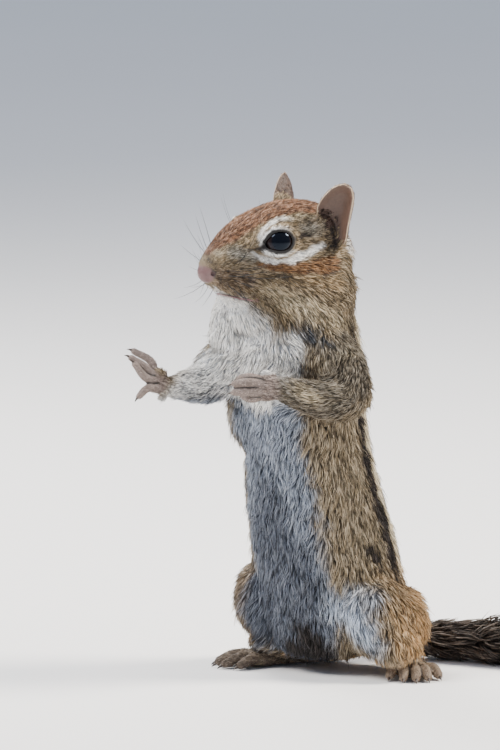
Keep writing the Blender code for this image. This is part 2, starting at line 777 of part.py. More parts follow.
def foot_region(name, heel, along, side, extra=0.0):
    """The low block that holds a hind foot, wider at the toes."""
    frame = paw_frame(heel, along, side)
    rings = []
    for forward, half_width in FOOT_REACH:
        edge = half_width + extra
        end = forward + extra * (1.0 if forward > 0.0 else -1.0)
        top = FOOT_HEIGHT + extra
        corners = ((-edge, -1.0), (edge, -1.0), (edge, top), (-edge, top))
        rings.append([frame @ Vector((end, across, up)) for across, up in corners])
    return loft(name, rings)


def region_round(name, items, triangles):
    """One smooth solid round several forms, and the same solid wider by the gap."""
    region = reduced(fused(name, items, 1.1, 3), triangles)
    return region, grown(region, name + "_gap")


def haunch_region(haunch, along):
    """The solid that parts a hind leg from the torso."""
    return region_round("haunch_region", haunch_forms(haunch, along, HAUNCH_REACH), REGION_TRIANGLES)


def limb_region(joints, extra=0.0):
    """The solid that parts a foreleg or the tail from the torso."""
    wide = [(place, radius + extra) for place, radius in joints]
    return region_round("limb_region", [limb("reach", wide, 4, 4)], REGION_TRIANGLES)


def ear_axes(side):
    """Root of an ear and its directions across, up and outward, in the animal's frame."""
    facing, lean, root = EAR_SET[0 if side > 0.0 else 1]
    facing = math.radians(facing)
    across = Vector((-math.sin(facing), math.cos(facing) * side, 0.0))
    outward = Vector((math.cos(facing), math.sin(facing) * side, 0.0))
    turn = head_turn()
    up = turn @ Vector((lean[0], lean[1] * side, 1.0))
    return in_head(root, side), turn @ across, up, turn @ outward


def ear_shell(side):
    """The leaf of an ear: a shallow cup inside its outline, with a thickness."""
    root, across, up, outward = ear_axes(side)
    closed = EAR_OUTLINE + EAR_OUTLINE[:3]
    outline = [point for point, _ in smooth_line([((x, y, 0.0), 0.0) for x, y in closed], 2)][2:-4]
    middle = Vector((*EAR_MIDDLE, 0.0))

    def build(work):
        centre = work.verts.new(root + across * middle.x + up * middle.y - outward * EAR_CUP)
        rings = []
        for level in (0.4, 0.76, 1.0):
            ring = []
            for point in outline:
                flat = middle.lerp(point, level)
                cup = EAR_CUP * (1.0 - level ** 2.4)
                ring.append(work.verts.new(root + across * flat.x + up * flat.y - outward * cup))
            rings.append(ring)
        for index in range(len(outline)):
            after = (index + 1) % len(outline)
            work.faces.new((centre, rings[0][index], rings[0][after]))
            for inner, outer in zip(rings, rings[1:]):
                work.faces.new((inner[index], outer[index], outer[after], inner[after]))
    item = mesh_from("ear_shell", build)
    thicken = item.modifiers.new("thicken", "SOLIDIFY")
    thicken.thickness = EAR_THICKNESS * MM
    thicken.offset = 0.0
    return finish_modifiers(item)


def concha(side, less=0.0):
    """The hollow in front of the ear's notch, where the cup runs into the head."""
    root, across, _, outward = ear_axes(side)
    axes = Matrix((across, Vector((0.0, 0.0, 1.0)), outward)).transposed()
    centre, radii = CONCHA
    place = root + axes @ Vector(centre)
    return ball("concha", place, [radius - less for radius in radii], axes, 14, 8)


def eyeball(side, extra=0.0):
    """An eye, or the socket round it."""
    radius = EYE_RADIUS + extra
    return ball("eyeball", in_head(EYE_CENTRE, side), (radius, radius, radius), head_turn(), 16, 10)


def make_head():
    """Head, ears and eyes."""
    broad = fused("head", head_forms() + trunk_forms(), 0.6, 14)
    whole = fused("head", [broad] + head_details(), 0.42, 3)
    direction = head_turn() @ Vector(HEAD_PLANE[1])
    kept_inside(whole, half_space("above", in_head(HEAD_PLANE[0]), direction))
    reduced(whole, HEAD_TRIANGLES)
    swollen = grown(whole, "swollen")
    for side, name in ((1.0, "left"), (-1.0, "right")):
        hollow = concha(side)
        cut_away(whole, hollow)
        smaller = concha(side, GAP)
        cut_away(swollen, smaller)
        discard(hollow, smaller)
    for side, name in ((1.0, "left"), (-1.0, "right")):
        ear = ear_shell(side)
        cut_away(ear, swollen)
        finished(ear, "ear_" + name, EAR_SKIN)
        socket = eyeball(side, GAP)
        cut_away(whole, socket)
        discard(socket)
        finished(eyeball(side), "eye_" + name, EYE_BLACK, 0.05)
        nostril = head_ball("nostril", NOSTRIL, side, 8, 6)
        cut_away(whole, nostril)
        discard(nostril)
    slit = mouth_cutter()
    groove = head_ball("philtrum", PHILTRUM, 1.0, 8, 6)
    cut_away(whole, slit, groove)
    discard(slit, groove, swollen)
    return finished(whole, "head", FUR_BROWN)


def make_paws():
    """Forepaws and hind feet, each cut from its limb."""
    for name, forms, wrist, along in (
            ("forepaw_left", left_paw_forms(), LEFT_WRIST, LEFT_PAW_ALONG),
            ("forepaw_right", right_paw_forms(), RIGHT_WRIST, RIGHT_PAW_ALONG)):
        paw = fused(name, forms, 0.32, 2)
        behind = half_space("arm", wrist, -along, back=-2.0)
        reduced(cut_away(paw, behind), PAW_TRIANGLES)
        region = half_space("beyond_wrist", wrist, along)
        kept_inside(paw, region)
        discard(region, behind)
        finished(paw, name, PAW_TAN)
    for name, heel, along, side, haunch in (
            ("hindfoot_left", LEFT_HEEL, LEFT_FOOT_ALONG, 1.0, LEFT_HAUNCH),
            ("hindfoot_right", RIGHT_HEEL, RIGHT_FOOT_ALONG, -1.0, RIGHT_HAUNCH)):
        foot = fused(name, foot_forms(heel, along, side, haunch), 0.4, 2)
        high = half_space("leg", (0.0, 0.0, 9.0), (0.0, 0.0, 1.0))
        reduced(cut_away(foot, high), PAW_TRIANGLES + 100)
        region = foot_region("foot_box", heel, along, side)
        floor = half_space("above_floor", (0.0, 0.0, 0.0), (0.0, 0.0, 1.0))
        kept_inside(foot, region, floor)
        discard(region, floor, high)
        finished(foot, name, PAW_TAN)


def make_tail(flesh):
    """The tail's bare root and its brush, cut from the flesh."""
    region, wider = limb_region(TAIL[2:], 1.0)
    brush_end = half_space("brush_end", *TAIL_BRUSH_PLANE)
    brush_gap = half_space("brush_gap", *TAIL_BRUSH_PLANE, back=GAP)
    floor = half_space("above_floor", (0.0, 0.0, 0.0), (0.0, 0.0, 1.0))
    root = kept_inside(copy_of(flesh, "tail_base"), region)
    cut_away(root, brush_gap)
    tail = kept_inside(tail_brush(), brush_end, floor)
    cut_away(flesh, wider)
    discard(region, brush_end, brush_gap, wider, floor)
    finished(root, "tail_base", FUR_RUFOUS)
    finished(tail, "tail", FUR_GREY)


def make_forelegs(flesh):
    """Both forelegs from the shoulder to the wrist, cut from the flesh."""
    for name, reach, wrist, along in (
            ("foreleg_left", LEFT_FORELEG_REACH, LEFT_WRIST, LEFT_PAW_ALONG),
            ("foreleg_right", RIGHT_FORELEG_REACH, RIGHT_WRIST, RIGHT_PAW_ALONG)):
        region, wider = limb_region(reach)
        leg = kept_inside(copy_of(flesh, name), region)
        beyond = half_space("beyond", wrist, along, back=GAP)
        cut_away(leg, beyond)
        cut_away(flesh, wider)
        discard(region, beyond, wider)
        finished(leg, name, FUR_TAN)


def make_hindlegs(flesh):
    """Both haunches, cut from the flesh, above the feet."""
    for name, haunch, heel, along, side in (
            ("hindleg_left", LEFT_HAUNCH, LEFT_HEEL, LEFT_FOOT_ALONG, 1.0),
            ("hindleg_right", RIGHT_HAUNCH, RIGHT_HEEL, RIGHT_FOOT_ALONG, -1.0)):
        region, wider = haunch_region(haunch, along)
        foot = foot_region("foot_gap", heel, along, side, GAP)
        leg = kept_inside(copy_of(flesh, name), region)
        cut_away(leg, foot)
        cut_away(flesh, wider, foot)
        discard(region, foot, wider)
        finished(leg, name, FUR_TAN)


def make_body():
    """Neck, torso, legs and tail, parted from one surface."""
    flesh = fused("flesh", head_forms() + body_forms(), 0.75, 9)
    reduced(flesh, BODY_TRIANGLES)
    floor = half_space("above_floor", (0.0, 0.0, 0.0), (0.0, 0.0, 1.0))
    kept_inside(flesh, floor)
    above = half_space("above", in_head(HEAD_PLANE[0]), head_turn() @ Vector(HEAD_PLANE[1]), GAP)
    cut_away(flesh, above)
    discard(floor, above)
    make_tail(flesh)
    make_forelegs(flesh)
    make_hindlegs(flesh)
    direction = head_turn() @ Vector(NECK_PLANE[1])
    neck_end = half_space("neck_end", in_head(NECK_PLANE[0]), direction)
    neck_gap = half_space("neck_gap", in_head(NECK_PLANE[0]), direction, GAP)
    neck = kept_inside(copy_of(flesh, "neck"), neck_end)
    cut_away(flesh, neck_gap)
    discard(neck_end, neck_gap)
    finished(neck, "neck", FUR_BROWN)
    finished(flesh, "torso", FUR_TAN)


def centre_on_floor():
    """Move all nodes together, so that the origin is on the floor under their middle."""
    corners = [vert.co for item in FINISHED.objects for vert in item.data.vertices]
    low = [min(corner[axis] for corner in corners) for axis in range(3)]
    high = [max(corner[axis] for corner in corners) for axis in range(3)]
    middle = Vector(((low[0] + high[0]) / 2.0, (low[1] + high[1]) / 2.0, 0.0))
    for item in FINISHED.objects:
        item.data.transform(Matrix.Translation(-middle))


def main():
    """Build every node, then clear the workshop."""
    clear_scene()
    make_head()
    make_paws()
    make_body()
    centre_on_floor()
    discard(*WORKSHOP.objects)
    bpy.data.collections.remove(WORKSHOP)


if __name__ == "__main__":
    main()
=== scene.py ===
"""Builds the coat, eyes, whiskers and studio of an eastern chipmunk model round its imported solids.

The flesh is modelled whole from the same rounded forms as the solids and drawn in by the depth of
the coat. Tufts of fur then stand on it along the lie of the coat. Sizes in the tables are real
millimetres in the animal's own frame: the chest faces -Y, the animal's left is +X, the floor is
z = 0. The frame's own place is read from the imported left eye.
"""
import json
import math

import bmesh
import bpy
import numpy as np
from bpy.props import FloatProperty, FloatVectorProperty, IntProperty, PointerProperty
from bpy.types import Operator, Panel, PropertyGroup
from mathutils import Matrix, Vector
from mathutils.kdtree import KDTree

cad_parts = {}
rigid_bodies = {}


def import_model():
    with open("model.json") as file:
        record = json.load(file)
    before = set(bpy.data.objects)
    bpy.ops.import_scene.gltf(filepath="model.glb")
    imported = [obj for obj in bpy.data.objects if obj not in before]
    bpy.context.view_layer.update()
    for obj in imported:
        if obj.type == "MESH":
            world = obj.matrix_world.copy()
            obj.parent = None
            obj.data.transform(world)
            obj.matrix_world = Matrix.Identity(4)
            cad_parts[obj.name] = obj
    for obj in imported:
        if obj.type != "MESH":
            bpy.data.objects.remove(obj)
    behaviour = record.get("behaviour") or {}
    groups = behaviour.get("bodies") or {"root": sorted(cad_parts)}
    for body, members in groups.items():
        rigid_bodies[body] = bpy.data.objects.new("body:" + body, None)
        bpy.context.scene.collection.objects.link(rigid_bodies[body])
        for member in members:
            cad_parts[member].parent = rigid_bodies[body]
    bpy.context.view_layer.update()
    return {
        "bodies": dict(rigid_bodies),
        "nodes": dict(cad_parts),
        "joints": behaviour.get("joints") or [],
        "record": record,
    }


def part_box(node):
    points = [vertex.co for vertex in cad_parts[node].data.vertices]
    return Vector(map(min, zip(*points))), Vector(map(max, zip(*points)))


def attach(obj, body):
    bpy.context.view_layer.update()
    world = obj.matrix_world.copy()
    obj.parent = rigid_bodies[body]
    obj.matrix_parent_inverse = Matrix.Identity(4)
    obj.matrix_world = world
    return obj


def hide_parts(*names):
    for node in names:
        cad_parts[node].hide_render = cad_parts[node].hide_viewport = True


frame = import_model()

bl_info = {
    "name": "Chipmunk Model",
    "version": (1, 0, 0),
    "blender": (4, 5, 0),
    "location": "View3D > Sidebar > Chipmunk",
    "description": "Builds the looks of a life-size chipmunk model round its packed solids",
    "category": "Object",
}

MM = 0.001
FLESH = ("head", "neck", "torso", "ear_left", "ear_right", "foreleg_left", "foreleg_right",
         "forepaw_left", "forepaw_right", "hindleg_left", "hindleg_right", "hindfoot_left",
         "hindfoot_right", "tail_base", "tail")

# Torso: height, centre x, centre y, half width, half depth.
TORSO = (
    (4.0, -5.0, 9.5, 7.0, 8.0),
    (6.0, -5.4, 10.0, 13.0, 13.5),
    (12.0, -6.0, 10.2, 18.2, 17.0),
    (20.0, -5.6, 9.8, 20.4, 19.0),
    (35.0, -6.5, 6.8, 19.7, 19.2),
    (47.0, -7.8, 4.7, 18.5, 18.4),
    (60.0, -9.2, 3.0, 17.2, 17.2),
    (70.0, -10.0, 2.0, 17.0, 17.2),
    (80.0, -10.9, 1.1, 17.6, 17.6),
    (90.0, -11.2, 0.4, 17.4, 17.0),
    (98.0, -10.8, 0.1, 16.0, 15.5),
    (106.0, -10.0, 1.5, 14.5, 14.0),
    (114.0, -9.4, 3.0, 11.0, 11.0),
    (117.0, -9.2, 3.4, 5.0, 5.0),
)
CHEST = ((-13.5, -4.5, 91.0), (13.0, 12.0, 13.0))
FLANK = ((-18.2, -1.6, 71.5), (11.4, 11.4, 14.0))

# Head, in its own frame: forward, to its left and up from the point midway between the ears.
HEAD_CENTRE = Vector((-8.9, 3.8, 116.2))
HEAD_TURN = math.radians(27.0)
# Skull and muzzle: forward, height of the centre, half width, half height.
SKULL = (
    (-10.6, -4.0, 3.0, 3.4),
    (-9.6, -3.8, 6.4, 7.2),
    (-6.5, -3.2, 9.8, 11.6),
    (-1.0, -2.4, 12.0, 14.0),
    (5.0, -2.0, 12.6, 14.7),
    (12.0, -2.2, 12.0, 14.4),
    (18.0, -2.6, 10.6, 13.0),
    (23.0, -3.0, 8.6, 11.2),
    (27.0, -3.4, 6.6, 8.9),
    (30.0, -4.0, 5.0, 6.5),
    (32.4, -4.4, 3.6, 4.2),
    (34.0, -4.7, 1.6, 1.9),
)
CHEEK = ((6.5, 6.6, -7.6), (12.5, 8.0, 8.6))
JAW = ((18.4, 0.0, -11.4), (10.2, 6.8, 5.6))
THROAT = ((13.6, 0.0, -17.4), (11.4, 9.4, 8.4))
WHISKER_PAD = ((26.8, 3.0, -7.0), (4.8, 3.6, 4.6))
EAR_BASE = ((2.0, 9.4, 4.6), (4.0, 3.6, 4.8))
NOSE_PAD = ((32.3, 0.0, -5.6), (2.4, 2.5, 2.9))
NOSTRIL = ((32.2, 3.6, -5.8), (0.8, 0.7, 0.7))
PHILTRUM = ((31.8, 0.0, -9.4), (1.5, 0.35, 2.0))
MOUTH_LINE = ((28.2, 0.0, -11.3), (27.2, 2.4, -11.6), (24.4, 4.7, -12.3), (20.4, 6.4, -12.9))
MOUTH_OPENING = 0.5
LIP_RADIUS = 0.6
LIP_INSET = 0.5

EYE_CENTRE = (15.2, 9.4, 2.7)
EYE_RADIUS = 4.1
EYE_AXIS = (0.34, 0.93, 0.12)
LID_RADIUS = 0.45
LID_ANGLE = 51.5
LID_DROOP = 12.0
LID_CORNER_ANGLE = 82.0
LID_CORNER_WIDTH = 24.0
LID_CORNER_DROP = -17.0

# Ear: across its face (towards the back) and up from the notch, in its own plane.
# Left and right ear: degrees from straight ahead to the way that it faces, its lean forwards and
# outwards and its root in the head's frame.
EAR_SET = (
    (46.0, (-0.04, 0.10), (0.0, 13.0, 0.0)),
    (52.0, (-0.11, 0.08), (2.0, 13.8, 0.0)),
)
EAR_OUTLINE = (
    (0.2, -2.0), (2.8, 1.2), (3.2, 6.0), (3.7, 10.5), (4.0, 14.0), (3.2, 16.6), (1.0, 17.8),
    (-1.8, 16.9), (-4.2, 14.6), (-6.0, 11.4), (-5.7, 7.0), (-4.2, 3.0), (-2.2, -0.8),
)
EAR_MIDDLE = (-0.6, 8.2)
EAR_CUP = 3.4
EAR_THICKNESS = 1.15
CONCHA = ((0.2, 4.2, 1.6), (3.2, 7.4, 3.4))

# Neck planes, both in the head's frame: a point, and the direction towards the head.
HEAD_PLANE = ((1.0, 0.0, -14.2), (0.50, 0.0, 0.87))
NECK_PLANE = ((0.0, 0.0, -22.6), (0.16, 0.0, 0.99))

# Forelegs: joints with radii, from the shoulder to the wrist.
LEFT_FORELEG = (
    ((-3.0, -3.4, 91.5), 8.6), ((4.6, -4.6, 85.5), 7.9), ((9.8, -6.4, 77.6), 6.4),
    ((7.2, -13.0, 76.8), 5.5), ((2.6, -18.0, 78.4), 4.4), ((-1.0, -21.8, 80.2), 3.4),
    ((-3.4, -23.6, 80.4), 3.1),
)
RIGHT_SHOULDER = ((-22.2, -6.8, 93.2), (10.1, 10.6, 15.2))
RIGHT_FORELEG = (
    ((-19.0, -3.0, 92.0), 9.0), ((-25.0, -9.0, 86.5), 8.4), ((-28.0, -14.5, 80.8), 6.8),
    ((-29.0, -21.0, 79.4), 5.2), ((-30.2, -27.5, 79.4), 3.7), ((-31.0, -32.0, 79.9), 2.8),
    ((-31.4, -34.0, 80.4), 2.7),
)
# Left forepaw: its frame runs along the fingers, up and out of the back of the paw.
LEFT_WRIST = Vector((-1.0, -21.8, 80.5))
LEFT_PAW_ALONG = Vector((-0.81, -0.586, 0.0))
LEFT_PALM = ((4.4, -0.1, -0.5), (5.6, 3.5, 2.4))
LEFT_FINGERS = (
    ((5.5, 2.3, -0.6), (9.2, 2.9, -1.2), (11.6, 2.2, -3.4)),
    ((6.0, 1.5, 0.2), (10.2, 1.7, 0.6), (12.9, 1.2, -0.6)),
    ((6.0, -0.8, 0.2), (10.2, -1.0, 0.6), (13.0, -1.2, -0.6)),
    ((5.0, -2.2, -0.6), (8.4, -3.0, -1.0), (10.2, -2.8, -3.2)),
)
LEFT_THUMB = ((2.4, 2.6, -1.6), (4.4, 3.4, -3.0))
# Right forepaw: joints of each finger, from the palm to the tip.
RIGHT_WRIST = Vector((-31.2, -33.0, 80.1))
RIGHT_PAW_ALONG = Vector((-0.42, -0.86, 0.30))
RIGHT_PALM = ((-32.6, -34.6, 81.6), (2.9, 3.4, 3.4))
RIGHT_FINGERS = (
    ((-33.4, -34.4, 83.2), (-35.4, -34.2, 86.8), (-39.2, -36.2, 89.2)),
    ((-32.8, -36.0, 82.8), (-35.0, -37.2, 85.4), (-38.2, -39.0, 87.8)),
    ((-32.4, -36.6, 81.6), (-34.0, -39.0, 83.0), (-36.0, -40.6, 86.4)),
    ((-31.0, -36.0, 79.8), (-33.0, -39.2, 80.0), (-34.2, -41.2, 78.2)),
)
RIGHT_THUMB = ((-29.6, -35.0, 79.0), (-29.6, -37.0, 77.6))
FINGER_RADIUS = 1.15
THUMB_RADIUS = 1.2

# Hind legs: haunch, knee and shin as rounded masses (centre, radii along the foot, across, up).
LEFT_HAUNCH = (
    ((11.2, 12.2, 14.2), (16.4, 10.4, 11.0)),
    ((11.6, 3.6, 17.4), (10.4, 9.0, 11.4)),
    ((17.4, 5.4, 9.6), (10.4, 7.0, 7.6)),
)
RIGHT_HAUNCH = (
    ((-19.4, 12.4, 16.8), (16.2, 10.6, 11.8)),
    ((-20.2, 3.0, 19.6), (10.4, 9.2, 11.8)),
    ((-19.6, 6.4, 9.6), (9.4, 6.6, 7.4)),
)

# Hind feet: heel on the floor, direction of the toes and side on which the outer toe lies.
LEFT_HEEL = Vector((8.2, 27.4, 0.0))
LEFT_FOOT_ALONG = Vector((0.54, -0.84, 0.0))
RIGHT_HEEL = Vector((-11.8, 20.0, 0.0))
RIGHT_FOOT_ALONG = Vector((-0.6, -0.8, 0.0))
SOLE = (
    ((0.0, 0.0, 2.5), 2.7), ((7.0, 0.0, 2.5), 2.8), ((15.0, 0.2, 2.6), 3.1), ((21.0, 0.5, 2.5), 3.2),
)
BALL = ((21.5, 0.4, 2.2), (5.2, 5.4, 2.5))
TOES = (
    ((21.0, -3.6, 2.2), (25.4, -4.8, 2.7), (28.8, -5.6, 1.4)),
    ((22.5, -1.6, 2.4), (27.6, -2.0, 3.0), (31.8, -2.0, 1.4)),
    ((22.5, 0.8, 2.4), (28.0, 1.2, 3.0), (32.2, 1.4, 1.4)),
    ((22.0, 3.0, 2.4), (27.0, 3.9, 2.9), (31.0, 4.6, 1.4)),
    ((20.5, 4.4, 2.2), (24.0, 6.2, 2.6), (27.4, 7.4, 1.4)),
)
TOE_RADIUS = 1.5

# Tail: its line along the floor with the radius of the brush.
TAIL = (
    ((-5.0, 18.0, 14.0), 5.5), ((-3.6, 26.0, 10.0), 4.8), ((1.0, 33.0, 7.0), 4.6),
    ((9.0, 38.5, 5.6), 5.0), ((20.0, 41.0, 5.8), 5.9), ((32.0, 41.5, 6.0), 6.4),
    ((45.0, 42.5, 5.9), 6.4), ((57.0, 45.5, 5.6), 6.2), ((69.0, 51.0, 5.0), 5.6),
    ((78.0, 58.0, 4.0), 4.6), ((84.0, 65.0, 3.0), 3.0),
)

# Marks on the head, painted in order: colour, then points with radii (forward, left, up, radius) in
# the head's frame, the softness of the edge and the strength. The right half mirrors the left.
HEAD_MARKS = (
    ("crown", ((31.6, 0.0, 0.8, 2.4), (26.5, 0.0, 5.0, 5.6), (21.0, 0.0, 8.5, 6.6), (15.0, 0.0, 11.5, 7.4),
               (8.0, 0.0, 12.5, 7.6), (0.0, 0.0, 12.0, 8.4), (-8.0, 0.0, 8.0, 9.0)), 1.4, 1.0),
    ("muzzle", ((30.0, 4.0, -7.0, 3.0), (25.5, 6.5, -8.0, 3.2)), 1.8, 0.8),
    ("grey", ((27.5, 5.6, 0.0, 1.9), (23.0, 8.0, -1.6, 1.7)), 2.0, 0.7),
    ("cream", ((30.2, 3.4, -0.4, 1.0),), 1.4, 0.6),
    ("dark", ((32.9, 1.9, -2.2, 0.9), (31.8, 3.2, -3.6, 0.5)), 0.9, 0.7),
    ("dark", ((31.6, 3.9, -4.8, 0.5), (30.9, 4.6, -6.4, 0.6), (30.6, 4.6, -7.8, 0.5)), 0.8, 0.8),
    ("white", ((31.0, 1.6, -9.6, 0.8), (29.6, 2.6, -10.6, 0.7)), 1.0, 0.6),
    ("pale", ((19.0, 9.0, -11.0, 2.4), (12.0, 12.4, -13.4, 3.0), (7.0, 13.4, -15.0, 2.6)), 3.0, 0.75),
    ("tick", ((23.6, 7.4, -7.4, 1.6),), 1.4, 0.5),
    ("white", ((29.0, 0.0, -13.4, 3.0), (24.6, 2.0, -15.4, 4.2), (20.0, 0.0, -22.0, 9.2),
               (15.0, 0.0, -28.0, 12.0)), 4.0, 1.0),
    # Painted shade on the jaw below the ear, in the tick colour.
    ("tick", ((2.0, 14.4, -9.4, 2.0), (6.0, 14.6, -9.0, 1.6)), 3.0, 0.45),
    ("grey", ((8.5, 10.2, 5.8, 1.8), (3.5, 11.0, 5.2, 2.0)), 2.4, 0.6),
    ("olive", ((13.4, 12.6, -6.0, 1.6), (7.0, 14.0, -7.6, 2.4), (1.0, 14.0, -8.6, 2.6)), 4.0, 0.5),
    ("stripe", ((21.5, 9.2, -3.6, 0.9), (17.1, 10.7, -4.2, 1.3), (10.8, 13.2, -4.4, 1.7),
                (5.4, 13.6, -4.2, 1.9), (0.4, 12.5, -3.6, 2.0)), 0.9, 0.95),
    ("dark", ((21.0, 9.2, -5.4, 0.4), (17.0, 10.9, -6.3, 0.6), (11.0, 13.0, -6.8, 0.7),
              (5.0, 14.2, -6.4, 0.7), (-0.5, 12.6, -5.6, 0.6)), 0.9, 0.7),
    ("white", ((23.2, 8.3, -0.4, 0.4), (20.8, 9.5, -1.7, 0.8), (17.1, 10.8, -2.5, 0.9),
               (13.1, 11.8, -2.2, 1.0), (9.2, 12.2, -1.0, 1.1), (3.9, 12.1, 1.2, 0.9)), 1.1, 0.95),
    ("white", ((21.0, 8.4, 3.0, 0.4), (19.3, 7.7, 5.4, 0.8), (16.6, 7.4, 7.2, 0.9), (12.0, 7.5, 8.4, 0.7)),
     1.1, 0.95),
    ("pale", ((12.0, 7.5, 8.4, 0.9), (7.6, 7.9, 8.8, 0.9), (4.4, 8.8, 8.2, 0.7)), 1.6, 0.7),
    ("dark", ((12.8, 12.4, 2.6, 1.3), (11.6, 12.1, 3.6, 1.3), (9.4, 11.4, 4.2, 0.9), (7.0, 11.2, 4.7, 0.5)),
     0.9, 0.9),
    ("dark", ((19.4, 9.4, 1.9, 0.8), (21.6, 8.6, 1.1, 0.6), (24.0, 7.6, 0.4, 0.2)), 0.8, 0.85),
    # Painted shade in the ear canal.
    ("dark", ((0.4, 11.3, 6.4, 0.5), (0.0, 11.3, 4.0, 1.0), (-0.1, 11.9, 0.6, 0.7)), 1.2, 0.95),
    ("white", ((-6.6, 9.4, 0.6, 1.6), (-6.0, 10.4, 3.4, 1.8)), 1.8, 0.9),
)
# Marks on the body, in the animal's frame.
BODY_MARKS = (
    # Pale fur of the far foreleg, whitened along its top as a painted highlight of light from behind.
    ("white", ((-20.0, -8.0, 100.0, 4.0), (-27.3, -15.0, 90.9, 6.0), (-30.0, -18.0, 84.0, 7.0),
               (-29.5, -26.0, 81.0, 6.0), (-31.4, -34.0, 80.4, 4.5)), 2.4, 0.75),
    ("arm", ((8.0, -4.0, 91.0, 6.0), (12.3, -9.0, 85.0, 8.0), (10.0, -14.0, 78.0, 7.0),
             (4.0, -19.0, 78.0, 6.0), (-3.4, -23.6, 80.4, 4.5)), 3.0, 0.85),
    ("pale", ((6.5, -9.5, 89.0, 3.0), (9.5, -5.0, 90.0, 3.0)), 5.0, 0.45),
    ("pale", ((4.5, -20.6, 80.0, 1.8), (9.0, -18.4, 77.0, 2.2)), 2.4, 0.7),
    # Painted shade: bluish grey under the far foreleg and down the far side of the belly, with a lighter
    # streak in the belly's colour.
    ("low", ((-26.8, -28.2, 78.0, 1.2), (-24.9, -23.6, 76.6, 1.6), (-22.6, -17.2, 76.6, 2.4),
             (-22.5, -12.4, 74.0, 3.0)), 3.0, 0.6),
    ("low", ((-17.0, -12.5, 66.0, 1.6), (-13.5, -13.2, 54.0, 2.2), (-12.0, -13.0, 45.0, 2.4),
             (-11.0, -12.5, 37.0, 3.0)), 4.0, 0.6),
    ("belly", ((-5.6, -13.7, 57.0, 1.4), (-3.7, -13.2, 49.0, 1.6), (-2.2, -12.5, 41.0, 1.6)), 2.6, 0.8),
    # Painted shade in the fold across the front of the chest.
    ("fold_shade", ((-5.0, -14.4, 98.4, 1.6), (-1.2, -13.1, 96.6, 2.4), (3.0, -11.4, 95.0, 2.6),
               (6.4, -10.7, 92.6, 1.8)), 3.0, 0.95),
    ("rump", ((16.0, 20.0, 28.0, 6.0), (19.5, 17.0, 21.0, 7.0), (23.0, 14.0, 13.0, 7.0),
              (12.0, 26.0, 16.0, 7.0), (-6.0, 26.0, 18.0, 9.0), (-24.0, 20.0, 18.0, 9.0)), 9.0, 0.85),
    # Painted shadow down the outer edge of the far haunch, in the colour of the back.
    ("back", ((-24.0, -4.0, 29.0, 3.0), (-26.0, -4.0, 20.0, 4.0), (-25.0, -2.0, 12.0, 4.0)), 5.0, 0.8),
    ("haze", ((7.0, -6.0, 21.0, 4.4), (11.5, -5.6, 18.0, 5.0), (14.6, -4.5, 12.0, 4.6)), 6.0, 0.8),
    ("haze", ((10.0, -4.0, 25.0, 2.6), (15.6, -3.0, 23.0, 3.0)), 5.0, 0.7),
    # Painted shade on the front of the far haunch.
    ("low", ((-18.6, -6.0, 25.0, 4.0), (-19.6, -6.4, 18.0, 4.6), (-19.8, -4.0, 10.0, 4.0)), 5.0, 0.85),
    # Dark brown of the inner thighs, deepened as painted shade in the crotch.
    ("shade", ((-6.0, -10.0, 16.0, 3.0), (-3.0, -8.0, 12.0, 4.2), (0.0, -4.6, 7.6, 5.0),
               (-10.0, -5.0, 7.0, 5.0)), 3.0, 0.75),
    ("dark", ((12.8, 2.0, 37.2, 1.8), (13.4, 4.2, 33.6, 2.0)), 1.6, 0.95),
)
# Marks painted over those of the head, in the animal's frame.
FAR_MARKS = (
    ("white", ((-24.6, -12.0, 103.0, 3.0), (-27.4, -14.4, 97.0, 4.4), (-28.0, -15.0, 92.0, 5.0),
               (-27.0, -15.0, 87.0, 5.0)), 2.4, 1.0),
    # Painted light: a sunlit patch on the side of the neck.
    ("pale", ((0.5, -9.5, 100.0, 1.2), (4.7, -4.7, 99.0, 2.2), (7.2, -1.0, 97.5, 2.2)), 4.0, 0.9),
    # Painted shade in the fold of the chest on the far side.
    ("fold_shade", ((-22.4, -16.4, 99.0, 1.3), (-20.6, -16.2, 96.4, 1.8), (-18.4, -16.1, 94.6, 1.2)), 2.0, 0.8),
)
# The part of each colour's tufts that is much darker, and the part that is much lighter.
GRIZZLE = {
    "crown": (0.34, 0.26), "muzzle": (0.42, 0.34), "grey": (0.34, 0.34), "cream": (0.06, 0.2),
    "dark": (0.3, 0.06), "white": (0.03, 0.2), "pale": (0.16, 0.3), "tick": (0.6, 0.1),
    "stripe": (0.34, 0.14), "cheek": (0.34, 0.34), "flank": (0.30, 0.28), "back": (0.3, 0.2),
    "rump": (0.24, 0.2), "belly": (0.05, 0.2), "low": (0.10, 0.2), "arm": (0.24, 0.3), "paw": (0.16, 0.2),
    "foot": (0.2, 0.3), "toe": (0.3, 0.1), "olive": (0.3, 0.3), "haze": (0.14, 0.24),
    "ear": (0.16, 0.2), "rim": (0.05, 0.2), "tail": (0.3, 0.3), "fold_shade": (0.5, 0.2),
    "shade": (0.3, 0.12), "nose": (0.0, 0.0), "lip": (0.0, 0.0), "lid": (0.0, 0.0),
}
# Stripes of the back, as degrees from the midline of the belly: middle and half width.
STRIPES = (("dark", 100.5, 6.5), ("cream", 116.0, 8.5), ("dark", 132.0, 5.5), ("dark", 180.0, 4.0))
# Edge of the belly's colour in degrees from its midline, on the near and the far side; it reaches further on
# the far side, where the belly's painted shade runs up to the outline.
BELLY_EDGE = (34.0, 50.0)

